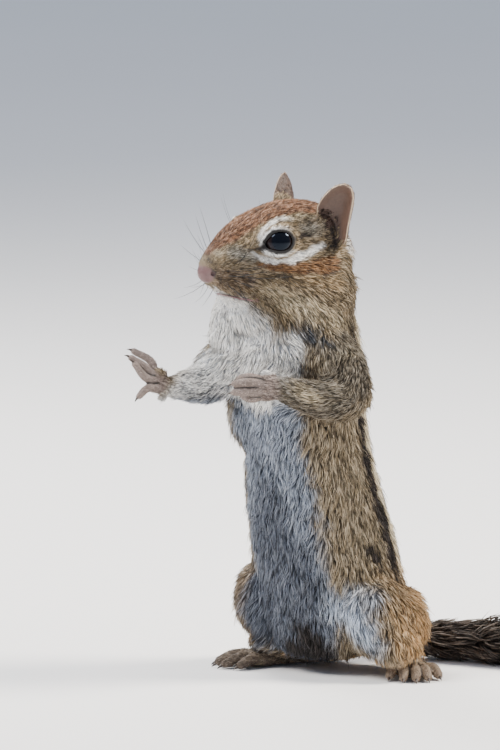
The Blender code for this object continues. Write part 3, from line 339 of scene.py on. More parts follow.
# Lie of the coat on the head: place, direction and length of the hair, in the head's frame.
HEAD_LIE = (
    ((34.0, 0.0, -4.0), (-1.0, 0.0, 0.5), 0.6), ((31.5, 1.8, -2.4), (-1.0, 0.2, 0.6), 0.8),
    ((31.0, 3.8, -8.0), (-1.0, 0.4, -0.1), 1.1), ((27.0, 6.0, -7.0), (-1.0, 0.3, -0.15), 1.9),
    ((29.5, 2.5, -12.0), (-0.8, 0.2, -0.6), 1.0), ((25.0, 6.0, -3.0), (-1.0, 0.3, 0.05), 1.7),
    ((27.0, 2.0, 3.6), (-1.0, 0.05, 0.5), 1.5), ((21.0, 4.5, 7.6), (-1.0, 0.05, 0.5), 2.0),
    ((14.0, 0.0, 12.0), (-1.0, 0.0, 0.1), 2.4), ((14.0, 6.5, 9.4), (-1.0, 0.1, 0.15), 1.8),
    ((20.6, 8.4, 4.4), (-0.6, 0.1, 0.9), 0.9), ((20.5, 9.4, -1.4), (-0.8, 0.4, -0.45), 1.0),
    ((15.0, 11.4, -2.4), (-1.0, 0.2, -0.1), 1.3), ((9.0, 12.0, -1.0), (-1.0, 0.15, 0.1), 1.8),
    ((9.0, 10.4, 5.0), (-1.0, 0.1, 0.05), 1.5), ((8.0, 8.6, 9.0), (-1.0, 0.1, -0.05), 1.6),
    ((5.0, 0.0, 13.0), (-1.0, 0.0, -0.1), 2.4), ((0.0, 8.0, 9.0), (-1.0, 0.1, 0.0), 1.6),
    ((-6.0, 0.0, 9.0), (-0.8, 0.0, -0.6), 3.0), ((3.0, 12.2, 2.0), (-1.0, 0.1, -0.1), 1.7),
    ((12.0, 13.0, -5.0), (-1.0, 0.2, -0.2), 2.2), ((3.0, 14.0, -6.0), (-1.0, 0.1, -0.35), 2.8),
    ((18.0, 10.0, -8.0), (-1.0, 0.3, -0.4), 2.4), ((12.0, 13.4, -11.0), (-1.0, 0.1, -0.5), 3.0),
    ((4.0, 14.4, -12.0), (-0.8, 0.0, -0.8), 3.5), ((25.0, 5.0, -15.0), (-0.8, 0.1, -0.7), 1.8),
    ((19.0, 7.0, -18.0), (-0.5, 0.1, -1.0), 3.4), ((22.0, 0.0, -20.0), (-0.3, 0.0, -1.0), 3.4),
    ((10.0, 11.0, -18.0), (-0.4, 0.0, -1.0), 4.0), ((-8.0, 5.0, -2.0), (-0.3, 0.0, -1.0), 3.6),
    ((-6.0, 11.0, -12.0), (-0.3, 0.0, -1.0), 4.0), ((-6.4, 9.8, 2.4), (-1.0, 0.8, 0.1), 5.6),
)
EAR_LIE = (
    ((-0.5, 12.4, 5.0), (-0.5, 0.1, 1.0), 0.9), ((-1.0, 13.0, 10.0), (-0.5, 0.1, 1.0), 0.8),
    ((-2.4, 14.4, 12.0), (-0.6, 0.1, 1.0), 0.8), ((-1.0, 13.4, 15.5), (-0.5, 0.1, 1.0), 0.7),
)
# Bare skin of the nose, and the fold beside it, which gets painted shade.
NOSE_SKIN = ((32.3, 0.0, -5.8), (2.8, 3.7, 2.7))
NOSE_FOLD = ((32.8, 2.4, -3.4, 0.3), (31.9, 3.8, -5.2, 0.4), (31.6, 3.6, -6.8, 0.3))
# Length of the hair: belly, back, chest, haunch, upper foreleg, wrist, finger, foot, toe, tail.
HAIR = {
    "belly": 4.6, "back": 4.2, "chest": 5.0, "haunch": 4.6, "shoulder": 4.0, "wrist": 1.7,
    "finger": 0.7, "foot": 1.3, "toe": 0.9, "tail_root": 5.5, "tail": 10.0,
}
TAIL_FLESH = (1.0, 1.0, 0.92, 0.74, 0.56, 0.48, 0.46, 0.46, 0.46, 0.46, 0.5)

# Whiskers: places in the head's frame, direction there and length.
WHISKER_ROWS = ((-3.4, 0.5), (-4.8, 0.2), (-6.2, -0.1), (-7.6, -0.4), (-8.9, -0.7))
WHISKER_COLUMNS = ((30.4, 13.0), (29.0, 17.0), (27.4, 21.0), (25.8, 25.0))
BROW_WHISKERS = (((22.0, 6.6, 6.4), (0.4, 0.5, 1.0), 8.0), ((20.5, 7.4, 6.2), (0.15, 0.6, 1.0), 9.5),
                 ((14.0, 13.4, -7.0), (-0.2, 1.0, -0.5), 9.0))


def new_object(name, mesh):
    """Put a mesh in the workshop under a name."""
    item = bpy.data.objects.new(name, mesh)
    bench.objects.link(item)
    return item


def mesh_from(name, build):
    """Make an object from a function that fills a bmesh in millimetres."""
    work = bmesh.new()
    build(work)
    bmesh.ops.scale(work, vec=(MM, MM, MM), verts=work.verts)
    bmesh.ops.recalc_face_normals(work, faces=work.faces)
    mesh = bpy.data.meshes.new(name)
    work.to_mesh(mesh)
    work.free()
    return new_object(name, mesh)


def finish_modifiers(item):
    """Apply every modifier of an object, and give it the plain mesh that results."""
    graph = bpy.context.evaluated_depsgraph_get()
    mesh = bpy.data.meshes.new_from_object(item.evaluated_get(graph))
    item.modifiers.clear()
    old = item.data
    item.data = mesh
    bpy.data.meshes.remove(old)
    return item


def discard(*items):
    """Remove objects that have done their work."""
    for item in items:
        bpy.data.objects.remove(item, do_unlink=True)


def smooth_line(joints, steps=5):
    """Points and radii along a smooth curve through ((x, y, z), radius) joints."""
    rows = [Vector((*place, radius)) for place, radius in joints]
    rows = [rows[0] * 2 - rows[1]] + rows + [rows[-1] * 2 - rows[-2]]
    line = []
    for first, second, third, fourth in zip(rows, rows[1:], rows[2:], rows[3:]):
        for step in range(steps):
            t = step / steps
            line.append(0.5 * (
                2 * second + (third - first) * t
                + (2 * first - 5 * second + 4 * third - fourth) * t * t
                + (3 * second - 3 * third + fourth - first) * t * t * t
            ))
    line.append(rows[-2])
    return [(row.xyz, row.w) for row in line]


def rounded_ends(line, rings=3):
    """Close a line of (point, radius) with round caps at both ends."""
    caps = []
    for end, inner in ((line[0], line[1]), (line[-1], line[-2])):
        outward = (end[0] - inner[0]).normalized()
        cap = []
        for ring in range(1, rings + 1):
            angle = 0.5 * math.pi * ring / (rings + 0.35)
            cap.append((end[0] + outward * end[1] * math.sin(angle), end[1] * math.cos(angle)))
        caps.append(cap)
    return caps[0][::-1] + line + caps[1]


def limb(name, joints, resolution=5, steps=5):
    """A round limb through its joints: a curve with a bevel, made a mesh with welded caps."""
    line = rounded_ends(smooth_line(joints, steps))
    curve = bpy.data.curves.new(name, "CURVE")
    curve.dimensions = "3D"
    curve.bevel_depth = MM
    curve.bevel_resolution = resolution
    curve.use_fill_caps = True
    spline = curve.splines.new("POLY")
    spline.points.add(len(line) - 1)
    for point, (place, radius) in zip(spline.points, line):
        point.co = (*(place * MM), 1.0)
        point.radius = radius
    guide = new_object(name, curve)
    graph = bpy.context.evaluated_depsgraph_get()
    mesh = bpy.data.meshes.new_from_object(guide.evaluated_get(graph))
    discard(guide)
    bpy.data.curves.remove(curve)
    work = bmesh.new()
    work.from_mesh(mesh)
    bmesh.ops.remove_doubles(work, verts=work.verts, dist=0.00001)
    bmesh.ops.recalc_face_normals(work, faces=work.faces)
    work.to_mesh(mesh)
    work.free()
    return new_object(name, mesh)


def ball(name, centre, radii, turn=None, segments=24, rings=14):
    """An ellipsoid with its radii along its own axes, turned by a 3 x 3 matrix."""
    def build(work):
        size = Matrix.Diagonal((*radii, 1.0))
        turned = turn.to_4x4() if turn else Matrix.Identity(4)
        place = Matrix.Translation(centre) @ turned @ size
        bmesh.ops.create_uvsphere(
            work, u_segments=segments, v_segments=rings, radius=1.0, matrix=place)
    return mesh_from(name, build)


def loft(name, rings):
    """A closed skin through rings of points, which all have the same number of points."""
    def build(work):
        loops = [[work.verts.new(point) for point in ring] for ring in rings]
        for below, above in zip(loops, loops[1:]):
            for index in range(len(below)):
                after = (index + 1) % len(below)
                work.faces.new((below[index], below[after], above[after], above[index]))
        work.faces.new(loops[0][::-1])
        work.faces.new(loops[-1])
    return mesh_from(name, build)


def smooth_rows(rows, steps):
    """More rows of numbers along a smooth curve through the given ones."""
    joints = [(Vector((row[0], row[1], row[2])), 0.0) for row in rows]
    first = smooth_line(joints, steps)
    rest = [(Vector((row[-2], row[-1], 0.0)), 0.0) for row in rows]
    second = smooth_line(rest, steps)
    if len(rows[0]) == 5:
        return [(*a[0], b[0].x, b[0].y) for a, b in zip(first, second)]
    return [(a[0].x, a[0].y, b[0].x, b[0].y) for a, b in zip(first, second)]


def head_turn():
    """The head's forward, left and up as the columns of a matrix."""
    forward = Vector((-math.sin(HEAD_TURN), -math.cos(HEAD_TURN), 0.0))
    left = Vector((math.cos(HEAD_TURN), -math.sin(HEAD_TURN), 0.0))
    return Matrix((forward, left, Vector((0.0, 0.0, 1.0)))).transposed()


def in_head(place, side=1.0):
    """A point of the head's frame in the animal's frame; side -1 is the right half."""
    forward, left, up = place
    return HEAD_CENTRE + head_turn() @ Vector((forward, left * side, up))


def paw_frame(origin, along, side):
    """A frame with x along the digits, y to the outer side and z up."""
    across = Vector((0.0, 0.0, 1.0)).cross(along).normalized() * side
    axes = Matrix((along.normalized(), across, Vector((0.0, 0.0, 1.0)))).transposed()
    return Matrix.Translation(origin) @ axes.to_4x4()


def half_space(name, point, direction, back=0.0):
    """A large block whose one face lies on a plane; direction points into it."""
    toward = Vector(direction).normalized()
    turn = toward.to_track_quat("Z", "Y").to_matrix().to_4x4()
    place = Matrix.Translation(Vector(point) + toward * (150.0 - back)) @ turn

    def build(work):
        bmesh.ops.create_cube(work, size=300.0, matrix=place)
    return mesh_from(name, build)


def joined(name, items):
    """Several workshop objects as one mesh."""
    work = bmesh.new()
    for item in items:
        work.from_mesh(item.data)
    mesh = bpy.data.meshes.new(name)
    work.to_mesh(mesh)
    work.free()
    discard(*items)
    return new_object(name, mesh)


def fused(name, items, voxel, rounds):
    """One smooth closed surface round overlapping forms."""
    item = joined(name, items)
    remesh = item.modifiers.new("fuse", "REMESH")
    remesh.mode = "VOXEL"
    remesh.voxel_size = voxel * MM
    soften = item.modifiers.new("soften", "SMOOTH")
    soften.factor = 0.5
    soften.iterations = rounds
    return finish_modifiers(item)


def combined(item, cutter, operation):
    """Apply one Boolean of a cutter on an object; the cutter stays."""
    cutter.hide_render = True
    cutter.display_type = "WIRE"
    change = item.modifiers.new("cut", "BOOLEAN")
    change.operation = operation
    change.object = cutter
    change.solver = "EXACT"
    return finish_modifiers(item)


def torso_form():
    """The trunk from the rump to the nape, an ellipse at each height."""
    rings = []
    for height, x, y, half_width, half_depth in smooth_rows(TORSO, 3):
        ring = []
        for index in range(28):
            angle = 2.0 * math.pi * index / 28
            ring.append(
                (x + half_width * math.cos(angle), y + half_depth * math.sin(angle), height))
        rings.append(ring)
    return loft("torso_form", rings)


def skull_form():
    """Skull and muzzle, an ellipse at each station from the nape to the nose."""
    rings = []
    for forward, up, half_width, half_height in smooth_rows(SKULL, 3):
        ring = []
        for index in range(28):
            angle = 2.0 * math.pi * index / 28
            ring.append(in_head(
                (forward, half_width * math.cos(angle), up + half_height * math.sin(angle))))
        rings.append(ring)
    return loft("skull_form", rings)


def head_ball(name, form, side=1.0, segments=20, rings=12):
    """An ellipsoid given in the head's frame."""
    centre, radii = form
    return ball(name, in_head(centre, side), radii, head_turn(), segments, rings)


def mouth_path(lift=0.0, inward=0.0):
    """The line of the mouth from the left corner round the front to the right corner."""
    left = [(forward, side - inward * (side > 0.0), up + lift) for forward, side, up in MOUTH_LINE]
    right = [(forward, -side, up) for forward, side, up in left[:0:-1]]
    return [HEAD_CENTRE + head_turn() @ Vector(place) for place in right + left]


def mouth_cutter():
    """The thin slit between the lips: a ribbon with a thickness."""
    outer = smooth_line([(place, 0.0) for place in mouth_path()], 4)
    middle = in_head((16.0, 0.0, -12.6))

    def build(work):
        rows = []
        for place, _ in outer:
            toward = (middle - place).normalized()
            rows.append((work.verts.new(place - toward * 2.0), work.verts.new(place + toward * 1.4)))
        for first, second in zip(rows, rows[1:]):
            work.faces.new((first[0], first[1], second[1], second[0]))
    item = mesh_from("mouth_cutter", build)
    thicken = item.modifiers.new("thicken", "SOLIDIFY")
    thicken.thickness = MOUTH_OPENING * MM
    thicken.offset = 0.0
    return finish_modifiers(item)


def lip(lift):
    """A soft roll along the mouth, thinner at its corners."""
    path = mouth_path(lift, LIP_INSET)
    middle = (len(path) - 1) / 2.0
    joints = []
    for index, place in enumerate(path):
        joints.append((place, LIP_RADIUS * (1.0 - 0.5 * abs(index - middle) / middle)))
    return limb("lip", joints, 3, 3)


def head_forms():
    """The broad forms of the head."""
    items = [skull_form(), head_ball("jaw", JAW), head_ball("throat", THROAT)]
    for side in (1.0, -1.0):
        items.append(head_ball("cheek", CHEEK, side))
        items.append(head_ball("whisker_pad", WHISKER_PAD, side))
        items.append(head_ball("ear_base", EAR_BASE, side))
    return items


def head_details():
    """Lids, lips and the nose, which keep their edges."""
    items = [head_ball("nose_pad", NOSE_PAD), lip(0.9), lip(-1.0)]
    for side in (1.0, -1.0):
        items.append(lid_ring(side))
    return items


def trunk_forms():
    """Trunk, chest and the raised right shoulder."""
    balls = [ball(*form) for form in (
        ("chest", *CHEST), ("shoulder", *RIGHT_SHOULDER), ("flank", *FLANK))]
    return [torso_form()] + balls


def haunch_forms(haunch, along, extra=0.0):
    """The masses of one hind leg, their length along the foot."""
    turn = paw_frame(Vector(), along, 1.0).to_3x3()
    return [ball("haunch", centre, [radius + extra for radius in radii], turn)
            for centre, radii in haunch]


def ear_axes(side):
    """Root of an ear and its directions across, up and outward, in the animal's frame."""
    facing, lean, root = EAR_SET[0 if side > 0.0 else 1]
    facing = math.radians(facing)
    across = Vector((-math.sin(facing), math.cos(facing) * side, 0.0))
    outward = Vector((math.cos(facing), math.sin(facing) * side, 0.0))
    turn = head_turn()
    up = turn @ Vector((lean[0], lean[1] * side, 1.0))
    return in_head(root, side), turn @ across, up, turn @ outward


def ear_shell(side):
    """The leaf of an ear: a shallow cup inside its outline, with a thickness."""
    root, across, up, outward = ear_axes(side)
    closed = EAR_OUTLINE + EAR_OUTLINE[:3]
    outline = [point for point, _ in smooth_line([((x, y, 0.0), 0.0) for x, y in closed], 2)][2:-4]
    middle = Vector((*EAR_MIDDLE, 0.0))

    def build(work):
        centre = work.verts.new(root + across * middle.x + up * middle.y - outward * EAR_CUP)
        rings = []
        for level in (0.4, 0.76, 1.0):
            ring = []
            for point in outline:
                flat = middle.lerp(point, level)
                cup = EAR_CUP * (1.0 - level ** 2.4)
                ring.append(work.verts.new(root + across * flat.x + up * flat.y - outward * cup))
            rings.append(ring)
        for index in range(len(outline)):
            after = (index + 1) % len(outline)
            work.faces.new((centre, rings[0][index], rings[0][after]))
            for inner, outer in zip(rings, rings[1:]):
                work.faces.new((inner[index], outer[index], outer[after], inner[after]))
    item = mesh_from("ear_shell", build)
    thicken = item.modifiers.new("thicken", "SOLIDIFY")
    thicken.thickness = EAR_THICKNESS * MM
    thicken.offset = 0.0
    return finish_modifiers(item)


def concha(side, less=0.0):
    """The hollow in front of the ear's notch, where the cup runs into the head."""
    root, across, _, outward = ear_axes(side)
    axes = Matrix((across, Vector((0.0, 0.0, 1.0)), outward)).transposed()
    centre, radii = CONCHA
    place = root + axes @ Vector(centre)
    return ball("concha", place, [radius - less for radius in radii], axes, 14, 8)


def eyeball(side, extra=0.0):
    """An eye, or the socket round it."""
    radius = EYE_RADIUS + extra
    return ball("eyeball", in_head(EYE_CENTRE, side), (radius, radius, radius), head_turn(), 16, 10)


bench = bpy.data.collections.new("bench")
bpy.context.scene.collection.children.link(bench)
low, high = (Vector(corner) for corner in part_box("eye_left"))
PLACE = (low + high) / 2.0 - in_head(EYE_CENTRE) * MM


def joined_by(item, cutter, operation):
    """Join or cut two closed surfaces, and remove the second."""
    change = item.modifiers.new("join", "BOOLEAN")
    change.operation = operation
    change.object = cutter
    change.solver = "MANIFOLD"
    finish_modifiers(item)
    discard(cutter)
    if not item.data.polygons:
        raise RuntimeError("the surfaces of " + item.name + " did not join")
    return item


def body_forms():
    """Trunk and haunches with the forelegs and the thin flesh of the tail."""
    items = trunk_forms()
    items += haunch_forms(LEFT_HAUNCH, LEFT_FOOT_ALONG)
    items += haunch_forms(RIGHT_HAUNCH, RIGHT_FOOT_ALONG)
    items.append(limb("left_foreleg", LEFT_FORELEG))
    items.append(limb("right_foreleg", RIGHT_FORELEG))
    joints = [(place, radius * part) for (place, radius), part in zip(TAIL, TAIL_FLESH)]
    items.append(limb("tail_form", joints))
    return items


def digits():
    """Every finger and toe, as three points from root to tip in the animal's frame and a radius."""
    up = Vector((0.0, 0.0, 1.0))
    axes = Matrix((LEFT_PAW_ALONG, up, up.cross(LEFT_PAW_ALONG))).transposed().to_4x4()
    frame = Matrix.Translation(LEFT_WRIST) @ axes
    rows = {"paw_left": [], "paw_right": [], "foot_left": [], "foot_right": []}
    for points in LEFT_FINGERS:
        rows["paw_left"].append(([frame @ Vector(point) for point in points], FINGER_RADIUS))
    for points in RIGHT_FINGERS:
        rows["paw_right"].append(([Vector(point) for point in points], FINGER_RADIUS))
    for name, heel, along, side in (
            ("foot_left", LEFT_HEEL, LEFT_FOOT_ALONG, 1.0),
            ("foot_right", RIGHT_HEEL, RIGHT_FOOT_ALONG, -1.0)):
        place = paw_frame(heel, along, side)
        for points in TOES:
            rows[name].append(([place @ Vector(point) for point in points], TOE_RADIUS))
    return rows, frame


def extremities():
    """The fine forms of both forepaws and both hind feet."""
    rows, frame = digits()
    parts = []
    for name, rest in (
            ("paw_left", [ball("palm", frame @ Vector(LEFT_PALM[0]), LEFT_PALM[1], frame.to_3x3()),
                          limb("wrist", LEFT_FORELEG[-4:]),
                          limb("thumb", [(frame @ Vector(p), THUMB_RADIUS) for p in LEFT_THUMB], 3, 2)]),
            ("paw_right", [ball("palm", *RIGHT_PALM), limb("wrist", RIGHT_FORELEG[-4:]),
                           limb("thumb", [(Vector(p), THUMB_RADIUS) for p in RIGHT_THUMB], 3, 2)])):
        for points, radius in rows[name]:
            rest.append(digit_form(points, radius))
        parts.append(fused(name, rest, 0.3, 2))
    for name, heel, along, side in (
            ("foot_left", LEFT_HEEL, LEFT_FOOT_ALONG, 1.0),
            ("foot_right", RIGHT_HEEL, RIGHT_FOOT_ALONG, -1.0)):
        place = paw_frame(heel, along, side)
        sole = [(place @ Vector(point), radius) for point, radius in SOLE]
        rest = [limb("sole", sole), ball("ball", place @ Vector(BALL[0]), BALL[1], place.to_3x3())]
        for points, radius in rows[name]:
            rest.append(digit_form(points, radius))
        parts.append(fused(name, rest, 0.36, 2))
    return parts


def digit_form(points, radius):
    """The flesh of one finger or toe."""
    root, knuckle, tip = points
    return limb("digit", ((root, radius), (knuckle, radius * 1.02), (tip, radius * 0.86)), 3, 4)


def lid_line(spread=0.0, radius=LID_RADIUS):
    """A line round the left lids in the head's frame, as points with radii, drawn out to a corner."""
    axis = Vector(EYE_AXIS).normalized()
    upward = (Vector((0.0, 0.0, 1.0)) - axis * axis.z).normalized()
    forward = axis.cross(upward)
    if forward.x < 0.0:
        forward = -forward
    line = []
    for index in range(25):
        angle = 15.0 * index
        away = (angle - LID_CORNER_DROP + 180.0) % 360.0 - 180.0
        corner = math.exp(-(away / LID_CORNER_WIDTH) ** 2)
        turn = math.radians(angle)
        droop = LID_DROOP * math.sin(turn) ** 2 * (1.0 if angle < 180.0 else 0.6)
        tilt = math.radians(LID_ANGLE + (LID_CORNER_ANGLE - LID_ANGLE) * corner - droop + spread)
        across = forward * math.cos(turn) + upward * math.sin(turn)
        place = Vector(EYE_CENTRE)
        place += (axis * math.cos(tilt) + across * math.sin(tilt)) * (EYE_RADIUS + 0.25)
        line.append((*place, radius))
    return line


def lid_ring(side):
    """Both lids of an eye: a rounded rim and the fold behind it."""
    rings = []
    for line in (lid_line(), lid_line(10.0, 0.7), lid_line(19.0, 0.8)):
        rings.append(limb("lid", [(in_head(point[:3], side), point[3]) for point in line], 3, 2))
    return joined("lids", rings)


def fine_head(voxel):
    """Head with its hollows, lids, lips, nose and ears."""
    broad = fused("head", head_forms() + trunk_forms(), 0.6, 14)
    direction = head_turn() @ Vector(HEAD_PLANE[1])
    joined_by(broad, half_space("above", in_head(HEAD_PLANE[0]), direction, back=5.0), "INTERSECT")
    head = fused("head", [broad] + head_details(), voxel, 3)
    for side in (1.0, -1.0):
        joined_by(head, concha(side), "DIFFERENCE")
        joined_by(head, fused("ear", [ear_shell(side)], 0.3, 3), "UNION")
        socket = ball("socket", in_head(EYE_CENTRE, side), [EYE_RADIUS + 0.12] * 3, None, 40, 24)
        joined_by(head, socket, "DIFFERENCE")
        joined_by(head, head_ball("nostril", NOSTRIL, side), "DIFFERENCE")
    joined_by(head, mouth_cutter(), "DIFFERENCE")
    return joined_by(head, head_ball("philtrum", PHILTRUM), "DIFFERENCE")


def whole_skin(head_voxel, body_voxel):
    """One closed surface over all the flesh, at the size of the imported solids."""
    skin = fused("skin", head_forms() + body_forms(), body_voxel, 9)
    direction = head_turn() @ Vector(HEAD_PLANE[1])
    joined_by(skin, half_space("below", in_head(HEAD_PLANE[0]), -direction), "INTERSECT")
    joined_by(skin, fine_head(head_voxel), "UNION")
    for item in extremities():
        joined_by(skin, item, "UNION")
    joined_by(skin, half_space("above_floor", (0.0, 0.0, 0.05), (0.0, 0.0, 1.0)), "INTERSECT")
    return skin


def as_array(rows):
    """Rows of numbers as an array."""
    return np.array([tuple(row) for row in rows], dtype=np.float64)


def unit(rows):
    """Rows scaled to length one."""
    return rows / np.maximum(np.linalg.norm(rows, axis=1, keepdims=True), 1e-9)


def smooth_step(values):
    """A soft step from 0 to 1 as the values pass from 0 to 1."""
    t = np.clip(values, 0.0, 1.0)
    return t * t * (3.0 - 2.0 * t)


def waves(places, size, seed, count=7):
    """Smooth noise from -1 to 1 that repeats nothing within the animal."""
    rng = np.random.default_rng(seed)
    turn = unit(rng.normal(size=(count, 3))) * (2.0 * math.pi / size) * rng.uniform(0.6, 1.5, (count, 1))
    phase = rng.uniform(0.0, 2.0 * math.pi, count)
    return np.sin(places @ turn.T + phase).mean(axis=1) * 2.0


def to_head(places):
    """Places in the head's frame: forward, left and up."""
    return (places - np.array(HEAD_CENTRE)) @ np.array(head_turn())


def stroke_distance(places, points):
    """Distance to a line of points with radii, less than 0 inside the stroke."""
    rows = np.array(points, dtype=np.float64)
    if len(rows) == 1:
        return np.linalg.norm(places - rows[0, :3], axis=1) - rows[0, 3]
    best = np.full(len(places), 1e9)
    for start, end in zip(rows, rows[1:]):
        step = end[:3] - start[:3]
        t = np.clip((places - start[:3]) @ step / (step @ step), 0.0, 1.0)
        near = start[:3] + t[:, None] * step
        radius = start[3] + (end[3] - start[3]) * t
        best = np.minimum(best, np.linalg.norm(places - near, axis=1) - radius)
    return best


def nearest_on_line(places, line):
    """How far along a line each place lies, from 0 to 1, and its angle round the line there."""
    rows = as_array(line)
    lengths = np.linalg.norm(rows[1:] - rows[:-1], axis=1)
    before = np.concatenate(([0.0], np.cumsum(lengths)))
    best = np.full(len(places), 1e9)
    along = np.zeros(len(places))
    angle = np.zeros(len(places))
    for index, (start, end) in enumerate(zip(rows, rows[1:])):
        step = (end - start) / lengths[index]
        raw = (places - start) @ step
        t = np.clip(raw, 0.0, lengths[index])
        away = places - start - t[:, None] * step
        distance = np.linalg.norm(away, axis=1)
        upward = np.array((0.0, 0.0, 1.0)) if abs(step[2]) < 0.8 else np.array((0.0, 1.0, 0.0))
        side = np.cross(step, upward)
        side /= np.linalg.norm(side)
        over = np.cross(side, step)
        nearer = distance < best
        best = np.where(nearer, distance, best)
        along = np.where(nearer, (before[index] + raw) / before[-1], along)
        angle = np.where(nearer, np.arctan2(away @ side, away @ over), angle)
    return along, angle / (2.0 * math.pi) + 0.5


def ear_stance(side):
    """Root, across, up and outward of an ear in the head's frame, as if it were the left one."""
    facing, lean, root = EAR_SET[0 if side > 0.0 else 1]
    facing = math.radians(facing)
    across = (-math.sin(facing), math.cos(facing), 0.0)
    outward = (math.cos(facing), math.sin(facing), 0.0)
    return np.array(root), np.array(across), np.array((*lean, 1.0)), np.array(outward)


def from_ears(head, left):
    """Places in the head's frame as across, up and outward from the root of their own ear."""
    local = np.empty_like(head)
    for side, mine in ((1.0, left), (-1.0, ~left)):
        root, across, upward, outward = ear_stance(side)
        axes = np.stack((across, upward, outward), axis=1)
        local[mine] = np.linalg.solve(axes, (head[mine] - root).T).T
    return local


def lie_rows(hair, lift):
    """Guides of the coat: place, direction, length, lift, depth and region number."""
    rows = []

    def add(place, direction, length, region, raised=None, depth=None):
        raised = lift if raised is None else raised
        depth = length * 0.26 if depth is None else depth
        rows.append((*place, *Vector(direction).normalized(), length, raised, depth, region))

    turn = head_turn()
    for table, region in ((HEAD_LIE, 0), (EAR_LIE, 0)):
        for place, direction, length in table:
            for side in (1.0, -1.0) if place[1] > 0.0 else (1.0,):
                flow = turn @ Vector((direction[0], direction[1] * side, direction[2]))
                if table is EAR_LIE:
                    moved = np.array(place) + ear_stance(side)[0] - ear_stance(1.0)[0]
                    add(in_head(moved, side), flow, length, region, lift * 0.8, 0.12)
                else:
                    add(in_head(place, side), flow, length, region, lift * 0.8)
    for height in (10.0, 20.0, 30.0, 40.0, 50.0, 60.0, 70.0, 80.0, 90.0):
        rows_of = [[row[index] for row in TORSO] for index in range(5)]
        x, y, half_width, half_depth = [
            np.interp(height, rows_of[0], rows_of[index]) for index in (1, 2, 3, 4)]
        for index in range(8):
            angle = 2.0 * math.pi * index / 8
            front = 0.5 - 0.5 * math.sin(angle)
            length = hair["back"] + (hair["belly"] - hair["back"]) * front
            if height > 78.0:
                length += (hair["chest"] - length) * front
            place = (x + half_width * math.cos(angle), y + half_depth * math.sin(angle), height)
            add(place, (-0.12 * math.cos(angle) * front, 0.0, -1.0), length, 1)
    for haunch, along in ((LEFT_HAUNCH, LEFT_FOOT_ALONG), (RIGHT_HAUNCH, RIGHT_FOOT_ALONG)):
        region = 2 if haunch is LEFT_HAUNCH else 3
        axes = paw_frame(Vector(), along, 1.0).to_3x3()
        out = 1.0 if region == 2 else -1.0
        for centre, radii in haunch:
            for push in ((1, 0, 0), (-1, 0, 0), (0, 1, 0), (0, -1, 0), (0, 0, 1),
                         (0.7, 0.7, 0), (0.7, -0.7, 0)):
                place = Vector(centre) + axes @ Vector([a * b for a, b in zip(push, radii)])
                flow = Vector((0.3 * out, 0.0, -1.0)) + along * 0.25
                add(place, flow, hair["haunch"], region, lift * 1.15)
    rows_of, frame = digits()
    for name, joints, wrist, along, region in (
            ("paw_left", LEFT_FORELEG, LEFT_WRIST, LEFT_PAW_ALONG, 4),
            ("paw_right", RIGHT_FORELEG, RIGHT_WRIST, RIGHT_PAW_ALONG, 5)):
        line = [Vector(place) for place, _ in joints]
        for index, (place, radius) in enumerate(joints):
            before = line[max(index - 1, 0)]
            after = line[min(index + 1, len(line) - 1)]
            part = index / (len(joints) - 1)
            length = hair["shoulder"] + (hair["wrist"] - hair["shoulder"]) * part
            side = (after - before).cross(Vector((0.0, 0.0, 1.0))).normalized()
            for push in (side, -side, Vector((0.0, 0.0, 1.0)), Vector((0.0, 0.0, -1.0))):
                add(Vector(place) + push * radius, after - before, length, region)
        add(wrist + along * 4.0, along, hair["finger"] * 1.5, region, depth=0.15)
        for points, radius in rows_of[name]:
            for place in points:
                add(place, points[2] - points[0], hair["finger"], region, lift * 0.7, 0.06)
    for name, heel, along, side, region in (
            ("foot_left", LEFT_HEEL, LEFT_FOOT_ALONG, 1.0, 6),
            ("foot_right", RIGHT_HEEL, RIGHT_FOOT_ALONG, -1.0, 7)):
        place = paw_frame(heel, along, side)
        for point, radius in SOLE:
            add(place @ Vector(point) + Vector((0.0, 0.0, radius)), along, hair["foot"], region, depth=0.2)
            add(place @ Vector(point), along, hair["foot"], region, depth=0.2)
        for points, radius in rows_of[name]:
            for spot in points:
                add(spot, along, hair["toe"], region, lift * 0.8, 0.08)
    line = smooth_line(TAIL, 3)
    for index, (place, radius) in enumerate(line):
        after = line[min(index + 1, len(line) - 1)][0]
        before = line[max(index - 1, 0)][0]
        part = min(1.0, max(0.0, (index - 5) / 8.0))
        length = hair["tail_root"] + (hair["tail"] - hair["tail_root"]) * part
        add(place, after - before, length, 8, 20.0 + 4.0 * part, 1.2 - 1.1 * part)
    return np.array(rows)


def coat_at(places, normals, guides):
    """Flow along the surface, length, lift, depth and region at each place."""
    flow = np.empty_like(places)
    facts = np.empty((len(places), 3))
    region = np.empty(len(places), dtype=np.int64)
    for start in range(0, len(places), 20000):
        part = slice(start, start + 20000)
        gap = ((places[part, None, :] - guides[None, :, :3]) ** 2).sum(axis=2)
        weight = 1.0 / (gap + 2.0) ** 2
        region[part] = guides[weight.argmax(axis=1), 9].astype(np.int64)
        weight /= weight.sum(axis=1, keepdims=True)
        flow[part] = weight @ guides[:, 3:6]
        facts[part] = weight @ guides[:, 6:9]
    flow -= normals * (flow * normals).sum(axis=1, keepdims=True)
    return unit(flow), facts[:, 0], facts[:, 1], facts[:, 2], region


